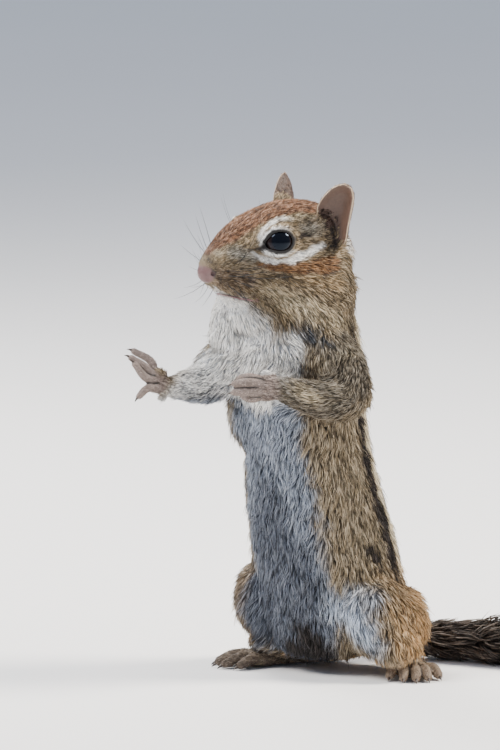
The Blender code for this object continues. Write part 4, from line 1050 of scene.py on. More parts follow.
def coat_colour(places, normals, palette):
    """Colour of the coat, with the shares of much darker and much lighter tufts."""
    tones = {name: np.array((*linear(colour), *GRIZZLE[name])) for name, colour in palette.items()}
    wander = np.stack([waves(places, 5.0, 11 + axis) for axis in range(3)], axis=1)
    wander += np.stack([waves(places, 1.7, 21 + axis) for axis in range(3)], axis=1) * 0.6
    head = to_head(places + wander * 0.35)
    left = head[:, 1] > 0.0
    head[:, 1] = np.abs(head[:, 1])
    moved = places + wander * 0.8
    rows = [[row[index] for row in TORSO] for index in range(3)]
    x = moved[:, 0] - np.interp(moved[:, 2], rows[0], rows[1])
    y = moved[:, 1] - np.interp(moved[:, 2], rows[0], rows[2])
    turn = np.degrees(np.arctan2(x, -y))
    around = np.abs(turn) + waves(places, 9.0, 5) * 3.0
    made = np.tile(tones["flank"], (len(places), 1))

    def paint(name, mask):
        mask = smooth_step(mask)[:, None]
        made[:] = made * (1.0 - mask) + tones[name] * mask

    paint("back", (around - 128.0) / 24.0)
    paint("rump", (37.0 - moved[:, 2]) / 26.0 * smooth_step((around - 52.0) / 26.0))
    height = moved[:, 2]
    reach = smooth_step((height - 18.0) / 14.0) * smooth_step((102.0 - height) / 12.0)
    for name, middle, half in STRIPES:
        paint(name, (0.5 + (half - np.abs(around - middle)) / 5.0) * reach)
    edge = np.where(turn > 0.0, BELLY_EDGE[0], BELLY_EDGE[1])
    # The belly's colour: white fur greyed and tinted blue as painted shade under a blue sky.
    paint("belly", 0.5 + (edge - around) / 16.0)
    # Painted shade: bluish grey over the lower belly.
    paint("low", (0.5 + (edge - 4.0 - around) / 16.0) * smooth_step((70.0 - height) / 44.0) * 0.85)
    paint("white", (0.5 + (edge + 6.0 - around) / 12.0) * smooth_step((height - 72.0) / 14.0))
    for name, points, soft, strength in BODY_MARKS:
        paint(name, (0.5 - stroke_distance(moved, points) / soft) * strength)
    plane = np.array(HEAD_PLANE[1])
    above = (head - np.array(HEAD_PLANE[0])) @ plane / np.linalg.norm(plane)
    on_head = 0.6 + (above + np.where(head[:, 0] > 6.0, -2.0, 4.0)) / 5.0
    paint("cheek", on_head)
    lids = stroke_distance(head, lid_line())
    before = smooth_step((head[:, 0] - EYE_CENTRE[0] + 3.0) / 3.0)
    paint("white", (0.5 - (lids - 1.0) / 0.8) * before * 0.9)
    for name, points, soft, strength in HEAD_MARKS:
        paint(name, (0.5 - stroke_distance(head, points) / soft) * strength * (on_head > 0.2))
    paint("lid", 0.5 + (0.1 - lids) / 0.3)
    for name, points, soft, strength in FAR_MARKS:
        paint(name, (0.5 - stroke_distance(moved, points) / soft) * strength)
    local = from_ears(head, left)
    inner = 0.7 * local[:, 0] + 0.08 * local[:, 1] + 0.72 * local[:, 2]
    on_ear = (local[:, 1] > np.maximum(1.0, 7.4 - 1.2 * (inner + 3.2))) & (local[:, 0] < 4.6)
    on_ear &= (inner > -3.2) & ((local[:, 2] < 0.3) | (local[:, 1] > 11.5))
    rim = stroke_distance(local, [(x, y, 0.0, 0.35) for x, y in EAR_OUTLINE[1:]])
    paint("ear", np.where(on_ear, 1.0, 0.0))
    paint("rim", np.where(on_ear, 0.5 - rim / 0.9, 0.0))
    paws = digits()[0]
    for name, wrist, along, wide in (("paw_left", LEFT_WRIST, LEFT_PAW_ALONG, 3.6),
                                     ("paw_right", RIGHT_WRIST, RIGHT_PAW_ALONG, 3.2)):
        palm = stroke_distance(places, [(*wrist, wide), (*(wrist + along * 5.5), wide)])
        beyond = (places - np.array(wrist)) @ np.array(along)
        paint("paw", np.minimum(0.5 - palm / 1.2, 0.5 + (beyond - 0.5) / 3.0))
        for points, radius in paws[name]:
            paint("paw", 0.5 - (stroke_distance(places, [(*point, radius) for point in points]) - 0.6) / 0.6)
        # Painted shade in the gaps between the fingers.
        paint("shade", between(places, paws[name]))
    for name, heel, along in (("foot_left", LEFT_HEEL, LEFT_FOOT_ALONG),
                              ("foot_right", RIGHT_HEEL, RIGHT_FOOT_ALONG)):
        near = stroke_distance(places, [(*heel, 6.5), (*(heel + along * 34.0), 9.0)])
        paint("foot", (0.5 + (6.4 - places[:, 2]) / 2.5) * (near < 0.0))
        for points, radius in paws[name]:
            paint("toe", 0.5 - (stroke_distance(places, [(*point, radius) for point in points[1:]])) / 1.2)
        # Painted shadow over the whole far hind foot.
        if name == "foot_right":
            paint("shade", (near < 0.0) * 0.6)
        # Painted shade in the gaps between the toes.
        paint("shade", between(places, paws[name]))
    line = [(*place, radius * 1.3) for place, radius in smooth_line(TAIL[2:], 3)]
    tail = stroke_distance(places, line)
    paint("tail", np.where(places[:, 1] > 27.0, 0.5 - tail / 2.0, 0.0))
    return made


def between(places, rows):
    """How far each place lies in the gaps between the digits of one foot, from 0 to 1, as the strength of the
    painted shade there.
    """
    gaps = [stroke_distance(places, [(*point, radius) for point in points]) for points, radius in rows]
    near = np.sort(np.stack(gaps), axis=0)
    return np.where(near[0] < 0.7, 0.5 + (0.35 - (near[1] - near[0])) / 0.4, 0.0) * 0.85


def linear(colour):
    """A display colour as linear light."""
    return [c / 12.92 if c <= 0.04045 else ((c + 0.055) / 1.055) ** 2.4 for c in colour]


def bald(places, normals):
    """Where no hair grows: eyes, nose, lips, the ears' inner side and the soles."""
    head = to_head(places)
    left = head[:, 1] > 0.0
    head[:, 1] = np.abs(head[:, 1])
    bare = stroke_distance(head, lid_line()) < 0.12
    centre, radii = NOSE_SKIN
    bare |= np.linalg.norm((head - np.array(centre)) / np.array(radii), axis=1) < 1.0
    mouth = [(*point, 0.6) for point in ((29.0, 0.0, -11.2),) + MOUTH_LINE[:-1]]
    mouth.append((*MOUTH_LINE[-1], 0.3))
    bare |= stroke_distance(head, mouth) < 0.0
    local, inner = ear_places(head, left, normals)
    hollow = (local[:, 1] > 1.5) & (np.abs(local[:, 0] + 1.0) < 6.0) & (head[:, 1] > 9.0)
    base = np.linalg.norm((head - np.array(EAR_BASE[0])) / np.array(EAR_BASE[1]), axis=1)
    bare |= hollow & (local[:, 2] < 0.1) & (inner > 0.25) & (base > 1.2)
    return bare | (places[:, 2] < 0.8)


def ear_places(head, left, normals):
    """Places seen from their own ear, and how far the surface there faces out of its cup."""
    facing = normals @ np.array(head_turn())
    facing[:, 1] *= np.where(left, 1.0, -1.0)
    outward = np.where(left[:, None], ear_stance(1.0)[3], ear_stance(-1.0)[3])
    return from_ears(head, left), (facing * outward).sum(axis=1)


def surface_points(mesh, wanted, guides, seed):
    """Roots spread over a mesh, closer together where the hair is short."""
    mesh.calc_loop_triangles()
    corners = np.empty(len(mesh.loop_triangles) * 3, dtype=np.int32)
    mesh.loop_triangles.foreach_get("vertices", corners)
    corners = corners.reshape(-1, 3)
    places, normals = arrays_of(mesh)
    a, b, c = (places[corners[:, index]] for index in range(3))
    area = np.linalg.norm(np.cross(b - a, c - a), axis=1) * 0.5
    middle = (a + b + c) / 3.0
    facing = unit(normals[corners].mean(axis=1))
    _, length, _, _, _ = coat_at(middle, facing, guides)
    share = area * np.minimum((4.5 / length) ** 0.85, 3.2)
    share[bald(middle, facing)] = 0.0
    rng = np.random.default_rng(seed)
    steps = np.cumsum(share) / share.sum()
    ticks = (np.arange(wanted) + rng.uniform(0.0, 1.0, wanted)) / wanted
    chosen = np.minimum(np.searchsorted(steps, ticks), len(steps) - 1)
    s = np.sqrt(rng.uniform(0.0, 1.0, (wanted, 1)))
    t = rng.uniform(0.0, 1.0, (wanted, 1))
    weights = (1.0 - s, s * (1.0 - t), s * t)
    roots = sum(w * places[corners[chosen, index]] for index, w in enumerate(weights))
    facing = sum(w * normals[corners[chosen, index]] for index, w in enumerate(weights))
    keep = ~bald(roots, facing)
    return roots[keep], unit(facing[keep])


def arrays_of(mesh):
    """Vertices in the animal's own millimetres, and their normals."""
    places = np.empty(len(mesh.vertices) * 3)
    mesh.vertices.foreach_get("co", places)
    normals = np.empty(len(mesh.vertices) * 3)
    mesh.vertices.foreach_get("normal", normals)
    return (places.reshape(-1, 3) - np.array(PLACE)) / MM, normals.reshape(-1, 3)


def gathered(roots, mids, tips, rng, share, pull):
    """Draw tufts towards their neighbours, as real hair clings together."""
    count = len(roots)
    leaders = rng.choice(count, max(1, int(count * share)), replace=False)
    tree = KDTree(len(leaders))
    for index, leader in enumerate(leaders):
        tree.insert(roots[leader], index)
    tree.balance()
    near = np.array([tree.find(place)[1] for place in roots])
    leader = leaders[near]
    pull = pull[:, None]
    mids = mids + (mids[leader] - mids) * pull * 0.45
    tips = tips + (tips[leader] - tips) * pull
    return mids, tips, near


def grow(mesh, guides, palette, wanted, fullness, seed):
    """All tufts: corners, colours and what places them in pieces and on the map."""
    rng = np.random.default_rng(seed)
    roots, normals = surface_points(mesh, wanted, guides, seed)
    flow, length, lift, depth, region = coat_at(roots, normals, guides)
    outer = roots + normals * depth[:, None]
    tones = coat_colour(outer, normals, palette)
    count = len(roots)
    guard = rng.uniform(0.0, 1.0, count) < 0.07
    length = length * rng.uniform(0.72, 1.2, count) * np.where(guard, 1.3, 1.0)
    swirl = waves(outer, 6.0, 31) * 0.3 + waves(outer, 2.4, 32) * 0.3 + rng.normal(0.0, 0.13, count)
    swirl *= np.clip(length / 4.0, 0.4, 1.0)
    side = np.cross(normals, flow)
    flow = unit(flow * np.cos(swirl)[:, None] + side * np.sin(swirl)[:, None])
    side = np.cross(normals, flow)
    raised = np.radians(lift * rng.uniform(0.75, 1.25, count) * np.where(guard, 1.25, 1.0))
    first = flow * np.cos(raised * 1.4)[:, None] + normals * np.sin(raised * 1.4)[:, None]
    second = flow * np.cos(raised * 0.5)[:, None] + normals * np.sin(raised * 0.5)[:, None]
    sunk = roots - normals * 0.15
    mids = sunk + first * (length * 0.5)[:, None]
    tips = mids + second * (length * 0.5)[:, None]
    pull = np.clip(length / 5.0, 0.15, 0.75) * rng.uniform(0.4, 1.0, count)
    mids, tips, near = gathered(sunk, mids, tips, rng, 0.16, pull)
    radius = fullness * np.sqrt(length) * rng.uniform(0.8, 1.2, count) * np.where(guard, 0.7, 1.0)
    radius = radius * np.where(region == 8, 1.15, 1.0)
    over = np.cross(first, side)
    corners = np.empty((count, 7, 3))
    for index in range(3):
        angle = 2.0 * math.pi * index / 3
        ring = side * math.cos(angle) - over * (0.6 * math.sin(angle))
        corners[:, index] = sunk + ring * radius[:, None]
        corners[:, 3 + index] = mids + ring * (radius * 0.8)[:, None]
    corners[:, 6] = tips
    flat = corners.reshape(-1, 3)
    for side_of in (1.0, -1.0):
        eye = np.array(in_head(EYE_CENTRE, side_of))
        away = flat - eye
        distance = np.linalg.norm(away, axis=1, keepdims=True)
        inside = distance < EYE_RADIUS + 0.3
        flat[:] = np.where(inside, eye + away / np.maximum(distance, 0.1) * (EYE_RADIUS + 0.3), flat)
    flat[:, 2] = np.maximum(flat[:, 2], 0.05)
    belly = smooth_step((tones[:, :3].min(axis=1) - 0.45) / 0.2)[:, None]
    base = tones[:, :3] * (1.0 + rng.uniform(-0.28, 0.28, (count, 1)) * (1.0 - 0.5 * belly))
    shared = np.clip(1.0 - length / 5.0, 0.3, 0.55)
    pick = rng.uniform(0.0, 1.0, count) * (1.0 - shared)
    pick += rng.uniform(0.0, 1.0, near.max() + 1)[near] * shared
    pick = smooth_step(pick * 1.6 - 0.3)
    darker = (pick < tones[:, 3])[:, None]
    lighter = (pick > 1.0 - tones[:, 4])[:, None]
    tip = np.where(darker, base * 0.12, np.where(lighter, base * 0.6 + 0.45 * np.sqrt(base), base))
    under = base * 0.42 * (1.0 - belly) + np.array(linear((0.74, 0.77, 0.82))) * belly
    middle = base * 0.3 + tip * 0.7
    colours = np.stack((under, under, under, middle, middle, middle, tip), axis=1)
    return corners, np.clip(colours, 0.0, 1.0), outer, region


def unwrapped(places, region):
    """Where each root lies on an unwrap of the flesh: a strip of the map round each limb."""
    place = np.zeros((len(places), 2))
    lines = {
        0: [in_head((-14.0, 0.0, -2.0)), in_head((36.0, 0.0, -4.0))],
        1: [(x, y, height) for height, x, y, _, _ in TORSO[::3]],
        2: [LEFT_HAUNCH[1][0], LEFT_HAUNCH[2][0]], 3: [RIGHT_HAUNCH[1][0], RIGHT_HAUNCH[2][0]],
        4: [row[0] for row in LEFT_FORELEG[:5]] + [tuple(LEFT_WRIST + LEFT_PAW_ALONG * 13.0)],
        5: [row[0] for row in RIGHT_FORELEG[:5]] + [tuple(RIGHT_WRIST + RIGHT_PAW_ALONG * 9.0)],
        6: [tuple(LEFT_HEEL), tuple(LEFT_HEEL + LEFT_FOOT_ALONG * 34.0)],
        7: [tuple(RIGHT_HEEL), tuple(RIGHT_HEEL + RIGHT_FOOT_ALONG * 34.0)],
        8: [row[0] for row in TAIL],
    }
    for number, line in lines.items():
        mine = region == number
        if mine.any():
            along, angle = nearest_on_line(places[mine], line)
            place[mine] = np.stack((angle, along), axis=1)
    return place


def coat_pieces(corners, colours, outer, region):
    """Split the tufts into pieces, each with its own share of the map."""
    groups = ((0,), (1,), (2, 3), (4, 5, 6, 7), (8,))
    spots = unwrapped(outer, region)
    pieces = []
    for group in groups:
        members = np.flatnonzero(np.isin(region, group))
        members = members[np.lexsort((spots[members, 0], region[members]))]
        parts = max(1, math.ceil(len(members) / 19000))
        for chunk in np.array_split(members, parts):
            mapped = np.empty((len(chunk), 2))
            present = [number for number in group if (region[chunk] == number).any()]
            for column, number in enumerate(present):
                mine = region[chunk] == number
                rows = spots[chunk][mine]
                low, high = rows.min(axis=0), rows.max(axis=0)
                rows = (rows - low) / np.maximum(high - low, 1e-6)
                mapped[mine] = np.stack(((rows[:, 0] * 0.94 + 0.02 + column) / len(present),
                                         rows[:, 1] * 0.97 + 0.01), axis=1)
            pieces.append((group, chunk, mapped))
    return pieces


def tuft_mesh(name, corners, colours, mapped):
    """One mesh of closed tufts, with their colours and a map named OFBake."""
    count = len(corners)
    one = np.array((0, 1, 4, 3, 1, 2, 5, 4, 2, 0, 3, 5, 3, 4, 6, 4, 5, 6, 5, 3, 6, 0, 2, 1))
    sizes = np.array((4, 4, 4, 3, 3, 3, 3))
    loops = (one[None, :] + 7 * np.arange(count)[:, None]).ravel().astype(np.int32)
    starts = np.concatenate(([0], np.cumsum(sizes)[:-1]))
    starts = (starts[None, :] + 24 * np.arange(count)[:, None]).ravel().astype(np.int32)
    mesh = bpy.data.meshes.new(name)
    mesh.vertices.add(count * 7)
    mesh.vertices.foreach_set("co", (corners.reshape(-1, 3) * MM + np.array(PLACE)).ravel())
    mesh.loops.add(len(loops))
    mesh.loops.foreach_set("vertex_index", loops)
    mesh.polygons.add(count * 7)
    mesh.polygons.foreach_set("loop_start", starts)
    mesh.update(calc_edges=True)
    shades = np.ones((count * 7, 4), dtype=np.float32)
    shades[:, :3] = colours.reshape(-1, 3)
    mesh.attributes.new("coat", "FLOAT_COLOR", "POINT").data.foreach_set("color", shades.ravel())
    patch = np.array(((0, 0), (0.5, 0), (1, 0), (0, 0.5), (0.5, 0.5), (1, 0.5), (0.5, 1.0))) * 0.003
    spots = (mapped[:, None, :] + patch[None, :, :]).reshape(-1, 2)
    mesh.uv_layers.new(name="OFBake").data.foreach_set("uv", spots[loops].ravel())
    mesh.shade_smooth()
    return mesh


class Term:
    """A shader value that Python's arithmetic turns into maths nodes."""

    def __init__(self, sheet, socket):
        self.sheet = sheet
        self.socket = socket

    def __add__(self, other):
        return self.sheet.maths("ADD", self, other)

    def __sub__(self, other):
        return self.sheet.maths("SUBTRACT", self, other)

    def __rsub__(self, other):
        return self.sheet.maths("SUBTRACT", other, self)

    def __mul__(self, other):
        return self.sheet.maths("MULTIPLY", self, other)

    def __truediv__(self, other):
        return self.sheet.maths("DIVIDE", self, other)

    def __pow__(self, other):
        return self.sheet.maths("POWER", self, other)

    __radd__ = __add__
    __rmul__ = __mul__


class Sheet:
    """A new material and short ways to add nodes to it."""

    def __init__(self, name):
        self.material = bpy.data.materials.new(name)
        self.material.use_nodes = True
        self.nodes = self.material.node_tree.nodes
        self.links = self.material.node_tree.links
        self.surface = self.nodes["Principled BSDF"]

    def node(self, kind, settings=None, inputs=None, output=0):
        """Add a node, set it up, feed its sockets and return one of its outputs."""
        made = self.nodes.new(kind)
        for key, value in (settings or {}).items():
            setattr(made, key, value)
        for key, value in (inputs or {}).items():
            self.feed(made.inputs[key], value)
        return Term(self, made.outputs[output])

    def feed(self, socket, value):
        """Link a term to a socket, or set the socket's value."""
        if isinstance(value, Term):
            self.links.new(value.socket, socket)
        else:
            socket.default_value = value

    def maths(self, operation, first, second):
        """One maths node of two values."""
        return self.node("ShaderNodeMath", {"operation": operation}, {0: first, 1: second})

    def scaled(self, colour, factor):
        """A colour made brighter or darker."""
        return self.node("ShaderNodeVectorMath", {"operation": "SCALE"}, {0: colour, "Scale": factor})

    def mixed(self, factor, first, second):
        """A colour between two others."""
        return self.node("ShaderNodeMix", {"data_type": "RGBA"},
                         {"Factor": factor, "A": first, "B": second}, "Result")

    def grain(self, scale, detail=2.0):
        """Fine noise from 0 to 1 in the object's own space."""
        places = self.node("ShaderNodeTexCoord", output="Object")
        return self.node("ShaderNodeTexNoise", None, {"Vector": places, "Scale": scale, "Detail": detail})

    def attribute(self, name, output="Color"):
        """A value stored on the mesh."""
        return self.node("ShaderNodeAttribute", {"attribute_name": name}, output=output)

    def relief(self, height, strength, distance):
        """A bump from a height."""
        inputs = {"Height": height, "Strength": strength, "Distance": distance}
        made = self.node("ShaderNodeBump", None, inputs)
        self.feed(self.surface.inputs["Normal"], made)

    def finish(self, **values):
        """Feed the surface's sockets by name and return the material."""
        for key, value in values.items():
            self.feed(self.surface.inputs[key.replace("_", " ")], value)
        return self.material


def fur_material(name, roughness):
    """Hair: the tuft's own colour with a fine variation along it."""
    sheet = Sheet(name)
    grain = sheet.grain(700.0)
    colour = sheet.scaled(sheet.attribute("coat"), grain * 0.5 + 0.75)
    made = sheet.finish(Base_Color=colour, Roughness=grain * 0.2 + roughness)
    sheet.surface.inputs["Specular IOR Level"].default_value = 0.35
    return made


def skin_material():
    """Skin: its painted colour, fine pores and a sheen where it is bare."""
    sheet = Sheet("chipmunk skin")
    grain = sheet.grain(1400.0, 3.0)
    colour = sheet.scaled(sheet.attribute("coat"), grain * 0.6 + 0.7)
    sheet.relief(grain, 0.35, 0.0002)
    return sheet.finish(Base_Color=colour, Roughness=sheet.attribute("finish", "Fac") + grain * 0.1)


def eye_material(colour):
    """Wet, nearly black eye with a trace of brown in its iris."""
    sheet = Sheet("chipmunk eye")
    ring = sheet.attribute("iris", "Fac")
    tone = sheet.mixed(ring, (0.002, 0.002, 0.003, 1.0), (*linear(colour), 1.0))
    sheet.surface.inputs["Specular IOR Level"].default_value = 0.2
    # The bluish tint of the reflections is a painted reflection of a blue sky.
    sheet.surface.inputs["Specular Tint"].default_value = (0.55, 0.72, 1.0, 1.0)
    return sheet.finish(Base_Color=tone, Roughness=ring * 0.02 + 0.04)


def horn_material(name, colour, roughness):
    """Claws and whiskers: dark horn with a faint grain."""
    sheet = Sheet(name)
    grain = sheet.grain(900.0)
    tone = sheet.scaled((*linear(colour),), grain * 0.8 + 0.6)
    return sheet.finish(Base_Color=tone, Roughness=grain * 0.15 + roughness)


def floor_material(colour):
    """Matt paper with the faintest mottling."""
    sheet = Sheet("floor")
    tone = sheet.scaled((*linear(colour),), sheet.grain(6.0) * 0.04 + 0.98)
    return sheet.finish(Base_Color=tone, Roughness=0.9)


def scatter_tree():
    """Geometry nodes that put a turned and scaled copy of a template on every point."""
    tree = bpy.data.node_groups.new("scatter", "GeometryNodeTree")
    tree.interface.new_socket("Geometry", in_out="INPUT", socket_type="NodeSocketGeometry")
    tree.interface.new_socket("Template", in_out="INPUT", socket_type="NodeSocketObject")
    tree.interface.new_socket("Material", in_out="INPUT", socket_type="NodeSocketMaterial")
    tree.interface.new_socket("Geometry", in_out="OUTPUT", socket_type="NodeSocketGeometry")

    def add(kind, **settings):
        node = tree.nodes.new(kind)
        for key, value in settings.items():
            setattr(node, key, value)
        return node

    entry = add("NodeGroupInput")
    template = add("GeometryNodeObjectInfo")
    turn = add("GeometryNodeInputNamedAttribute", data_type="FLOAT_VECTOR")
    turn.inputs["Name"].default_value = "turn"
    size = add("GeometryNodeInputNamedAttribute", data_type="FLOAT")
    size.inputs["Name"].default_value = "size"
    turned = add("FunctionNodeEulerToRotation")
    copies = add("GeometryNodeInstanceOnPoints")
    solid = add("GeometryNodeRealizeInstances")
    painted = add("GeometryNodeSetMaterial")
    leave = add("NodeGroupOutput")
    for first, output, second, entrance in (
            (entry, "Template", template, "Object"), (entry, "Geometry", copies, "Points"),
            (template, "Geometry", copies, "Instance"), (turn, "Attribute", turned, "Euler"),
            (turned, "Rotation", copies, "Rotation"), (size, "Attribute", copies, "Scale"),
            (copies, "Instances", solid, "Geometry"), (solid, "Geometry", painted, "Geometry"),
            (entry, "Material", painted, "Material"), (painted, "Geometry", leave, "Geometry")):
        tree.links.new(first.outputs[output], second.inputs[entrance])
    return tree


def scattered(name, rows, template, finish):
    """A plain mesh of copies of a template at (place, direction, spin, size) rows."""
    mesh = bpy.data.meshes.new(name)
    mesh.from_pydata([Vector(place) * MM + PLACE for place, _, _, _ in rows], [], [])
    turns = []
    for _, direction, spin, _ in rows:
        turn = Vector(direction).to_track_quat("Z", "X").to_matrix() @ Matrix.Rotation(spin, 3, "Z")
        turns.extend(turn.to_euler())
    mesh.attributes.new("turn", "FLOAT_VECTOR", "POINT").data.foreach_set("vector", turns)
    sizes = [row[3] for row in rows]
    mesh.attributes.new("size", "FLOAT", "POINT").data.foreach_set("value", sizes)
    guide = new_object(name, mesh)
    tree = scatter_tree()
    modifier = guide.modifiers.new("scatter", "NODES")
    modifier.node_group = tree
    for socket in tree.interface.items_tree:
        if socket.in_out == "INPUT" and socket.name == "Template":
            modifier[socket.identifier] = template
        if socket.in_out == "INPUT" and socket.name == "Material":
            modifier[socket.identifier] = finish
    finish_modifiers(guide)
    discard(template)
    bpy.data.node_groups.remove(tree)
    if not guide.data.polygons:
        raise RuntimeError(name + " came out empty")
    return guide


def hooked_template(name, sides, rings):
    """A tapering, bent spike of unit length along z, from (height, offset, radius) rings."""
    def build(work):
        loops = []
        for height, offset, radius in rings[:-1]:
            loops.append([work.verts.new((
                offset + radius * math.cos(2.0 * math.pi * index / sides),
                radius * math.sin(2.0 * math.pi * index / sides), height)) for index in range(sides)])
        height, offset, _ = rings[-1]
        tip = work.verts.new((offset, 0.0, height))
        work.faces.new(loops[0][::-1])
        for below, above in zip(loops, loops[1:]):
            for index in range(sides):
                after = (index + 1) % sides
                work.faces.new((below[index], below[after], above[after], above[index]))
        for index in range(sides):
            work.faces.new((loops[-1][index], loops[-1][(index + 1) % sides], tip))
        for face in work.faces:
            face.smooth = True
    return mesh_from(name, build)


def tone_property(name, description, default):
    """A colour that a user can change, in display values."""
    return FloatVectorProperty(
        name=name, description=description, default=default, min=0.0, max=1.0, size=3, subtype="COLOR_GAMMA")


class ChipmunkColours(PropertyGroup):
    """Colours of the coat and the bare parts."""

    crown: tone_property("Crown", "Reddish brown of the top of the head", (0.52, 0.365, 0.26))
    muzzle: tone_property("Muzzle", "Olive tan of the whisker pads", (0.52, 0.43, 0.33))
    cheek: tone_property("Cheek", "Olive brown of the cheeks and the neck", (0.56, 0.48, 0.36))
    grey: tone_property("Grey", "Grey patches before and behind the eye", (0.62, 0.59, 0.53))
    olive: tone_property("Olive", "Warm tan under the cheek stripe", (0.66, 0.53, 0.34))
    tick: tone_property("Tick", "Dark patch behind the whiskers", (0.34, 0.29, 0.26))
    pale: tone_property("Pale", "Pale tan of the lower cheek and the elbow", (0.76, 0.69, 0.56))
    cream: tone_property("Cream", "Light stripe of the back", (0.92, 0.86, 0.74))
    white: tone_property("White", "White of the throat and round the eye", (0.95, 0.94, 0.92))
    # Belly: white fur greyed and tinted blue as painted shade under a blue sky.
    belly: tone_property("Belly", "White of the belly, bluish where it parts", (0.55, 0.585, 0.64))
    stripe: tone_property("Cheek stripe", "Chestnut stripe below the eye", (0.50, 0.35, 0.21))
    dark: tone_property("Dark", "Dark stripes of back and face", (0.17, 0.13, 0.11))
    # Painted shade in the folds of the chest, where the long hair parts.
    fold_shade: tone_property("Slate", "Grey where the long hair of the chest parts", (0.33, 0.34, 0.36))
    # Lower belly: bluish grey painted shade on the lower belly and on the far side of the body.
    low: tone_property("Lower belly", "Bluish grey of the lower belly", (0.33, 0.355, 0.405))
    haze: tone_property("Haunch", "Pale grey of the haunch's front", (0.74, 0.79, 0.86))
    flank: tone_property("Flank", "Olive tan of the flank", (0.61, 0.54, 0.43))
    back: tone_property("Back", "Grey brown between the stripes", (0.50, 0.42, 0.33))
    rump: tone_property("Rump", "Orange brown of the rump", (0.82, 0.66, 0.46))
    arm: tone_property("Foreleg", "Greyish tan of the near foreleg", (0.49, 0.445, 0.375))
    # Thigh: dark brown of the inner thighs, also used as painted shade in the crotch, between the digits and
    # over the far hind foot.
    shade: tone_property("Thigh", "Dark brown of the inner thighs", (0.15, 0.125, 0.115))
    paw: tone_property("Paw", "Pinkish grey of the forepaws", (0.60, 0.53, 0.49))
    foot: tone_property("Foot", "Tan of the hind feet", (0.80, 0.70, 0.58))
    toe: tone_property("Toe", "Greyish brown of the toes", (0.64, 0.55, 0.47))
    tail: tone_property("Tail", "Dark brown of the tail", (0.30, 0.25, 0.21))
    ear: tone_property("Ear", "Brown of the ears", (0.34, 0.255, 0.21))
    rim: tone_property("Ear rim", "Pale edge of the ears", (0.86, 0.76, 0.64))
    nose: tone_property("Nose", "Pink of the nose pad", (0.40, 0.29, 0.285))
    lip: tone_property("Lips", "Pink of the lips", (0.48, 0.34, 0.34))
    lid: tone_property("Lids", "Dark rims of the lids", (0.07, 0.055, 0.05))
    iris: tone_property("Iris", "Brown in the eye", (0.10, 0.06, 0.04))
    claw: tone_property("Claw", "Dark horn of the claws", (0.20, 0.15, 0.12))
    whisker: tone_property("Whisker", "Black of the whiskers", (0.06, 0.05, 0.05))


class ChipmunkCoat(PropertyGroup):
    """Make-up of the skin and the coat."""

    head_voxel: FloatProperty(
        name="Head detail", description="Size of the cells in which the head is fused, in millimetres",
        default=0.38, min=0.3, max=1.0)
    body_voxel: FloatProperty(
        name="Body detail", description="Size of the cells in which the body is fused, in millimetres",
        default=0.75, min=0.5, max=2.0)
    tufts: IntProperty(
        name="Tufts", description="Number of tufts of hair over the whole animal",
        default=148000, min=1000, max=150000)
    fullness: FloatProperty(
        name="Fullness", description="Half width of a tuft one millimetre long, in millimetres",
        default=0.085, min=0.02, max=0.3)
    lift: FloatProperty(
        name="Lift", description="Angle at which the hair leaves the skin",
        default=math.radians(21.0), min=0.0, max=math.radians(80.0), subtype="ANGLE")
    belly: FloatProperty(
        name="Belly hair", description="Length on the belly, in millimetres", default=4.6, min=0.5)
    back: FloatProperty(
        name="Back hair", description="Length on the back, in millimetres", default=4.2, min=0.5)
    tail: FloatProperty(
        name="Tail hair", description="Length on the tail, in millimetres", default=10.0, min=1.0)


class ChipmunkStudio(PropertyGroup):
    """Floor, light and camera."""

    floor: tone_property("Floor", "Colour of the plain floor", (0.93, 0.92, 0.91))
    sky: tone_property("Sky", "Colour of the soft light from all round", (0.84, 0.90, 1.0))
    sky_strength: FloatProperty(
        name="Sky strength", description="Strength of the soft light", default=0.7, min=0.0)
    key: FloatProperty(
        name="Key light", description="Power of the main light", default=12.5, min=0.0, unit="POWER")
    rim: FloatProperty(
        name="Rim light", description="Power of the light from behind", default=15.0, min=0.0, unit="POWER")
    azimuth: FloatProperty(
        name="Azimuth", description="Turn of the camera from the animal's front to its left",
        default=math.radians(33.0), subtype="ANGLE")
    elevation: FloatProperty(
        name="Elevation", description="Height of the camera as an angle",
        default=math.radians(7.5), subtype="ANGLE")
    distance: FloatProperty(
        name="Distance", description="Distance of the camera", default=3.0, min=0.5, unit="LENGTH")
    view_height: FloatProperty(
        name="View height", description="Height of what the picture shows", default=0.2025, min=0.05,
        unit="LENGTH")


def palette_of(scene):
    """Every colour of the coat by name."""
    return {name: tuple(getattr(scene.chipmunk_colours, name)) for name in GRIZZLE}


def guides_of(scene):
    """The guides of the coat at the lengths that the user chose."""
    hair = dict(HAIR)
    hair.update({name: getattr(scene.chipmunk_coat, name) for name in ("belly", "back", "tail")})
    return lie_rows(hair, math.degrees(scene.chipmunk_coat.lift))


def placed(item, name, finish, slot, *nodes):
    """Name a finished piece, give it its material, hang it on the root body and hide the imported parts that
    it replaces.
    """
    item.name = name
    item.data.name = name
    if finish:
        item.data.materials.clear()
        item.data.materials.append(finish)
    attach(item, "root")
    if nodes:
        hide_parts(*nodes)
    return item


def in_order(item):
    """Give a surface the order of corners and faces that its places alone decide."""
    old = item.data
    flat = np.empty(len(old.vertices) * 3)
    old.vertices.foreach_get("co", flat)
    places = flat.reshape(-1, 3)
    cells = np.floor(places / (2.0 * MM))
    order = np.lexsort((places @ np.array((1.0, 0.7, 0.5)), *cells.T))
    rank = np.empty(len(order), dtype=np.int64)
    rank[order] = np.arange(len(order))
    faces = []
    for polygon in old.polygons:
        face = [int(rank[index]) for index in polygon.vertices]
        first = face.index(min(face))
        faces.append(face[first:] + face[:first])
    mesh = bpy.data.meshes.new(item.name)
    mesh.from_pydata(places[order].tolist(), [], sorted(faces))
    item.data = mesh
    bpy.data.meshes.remove(old)


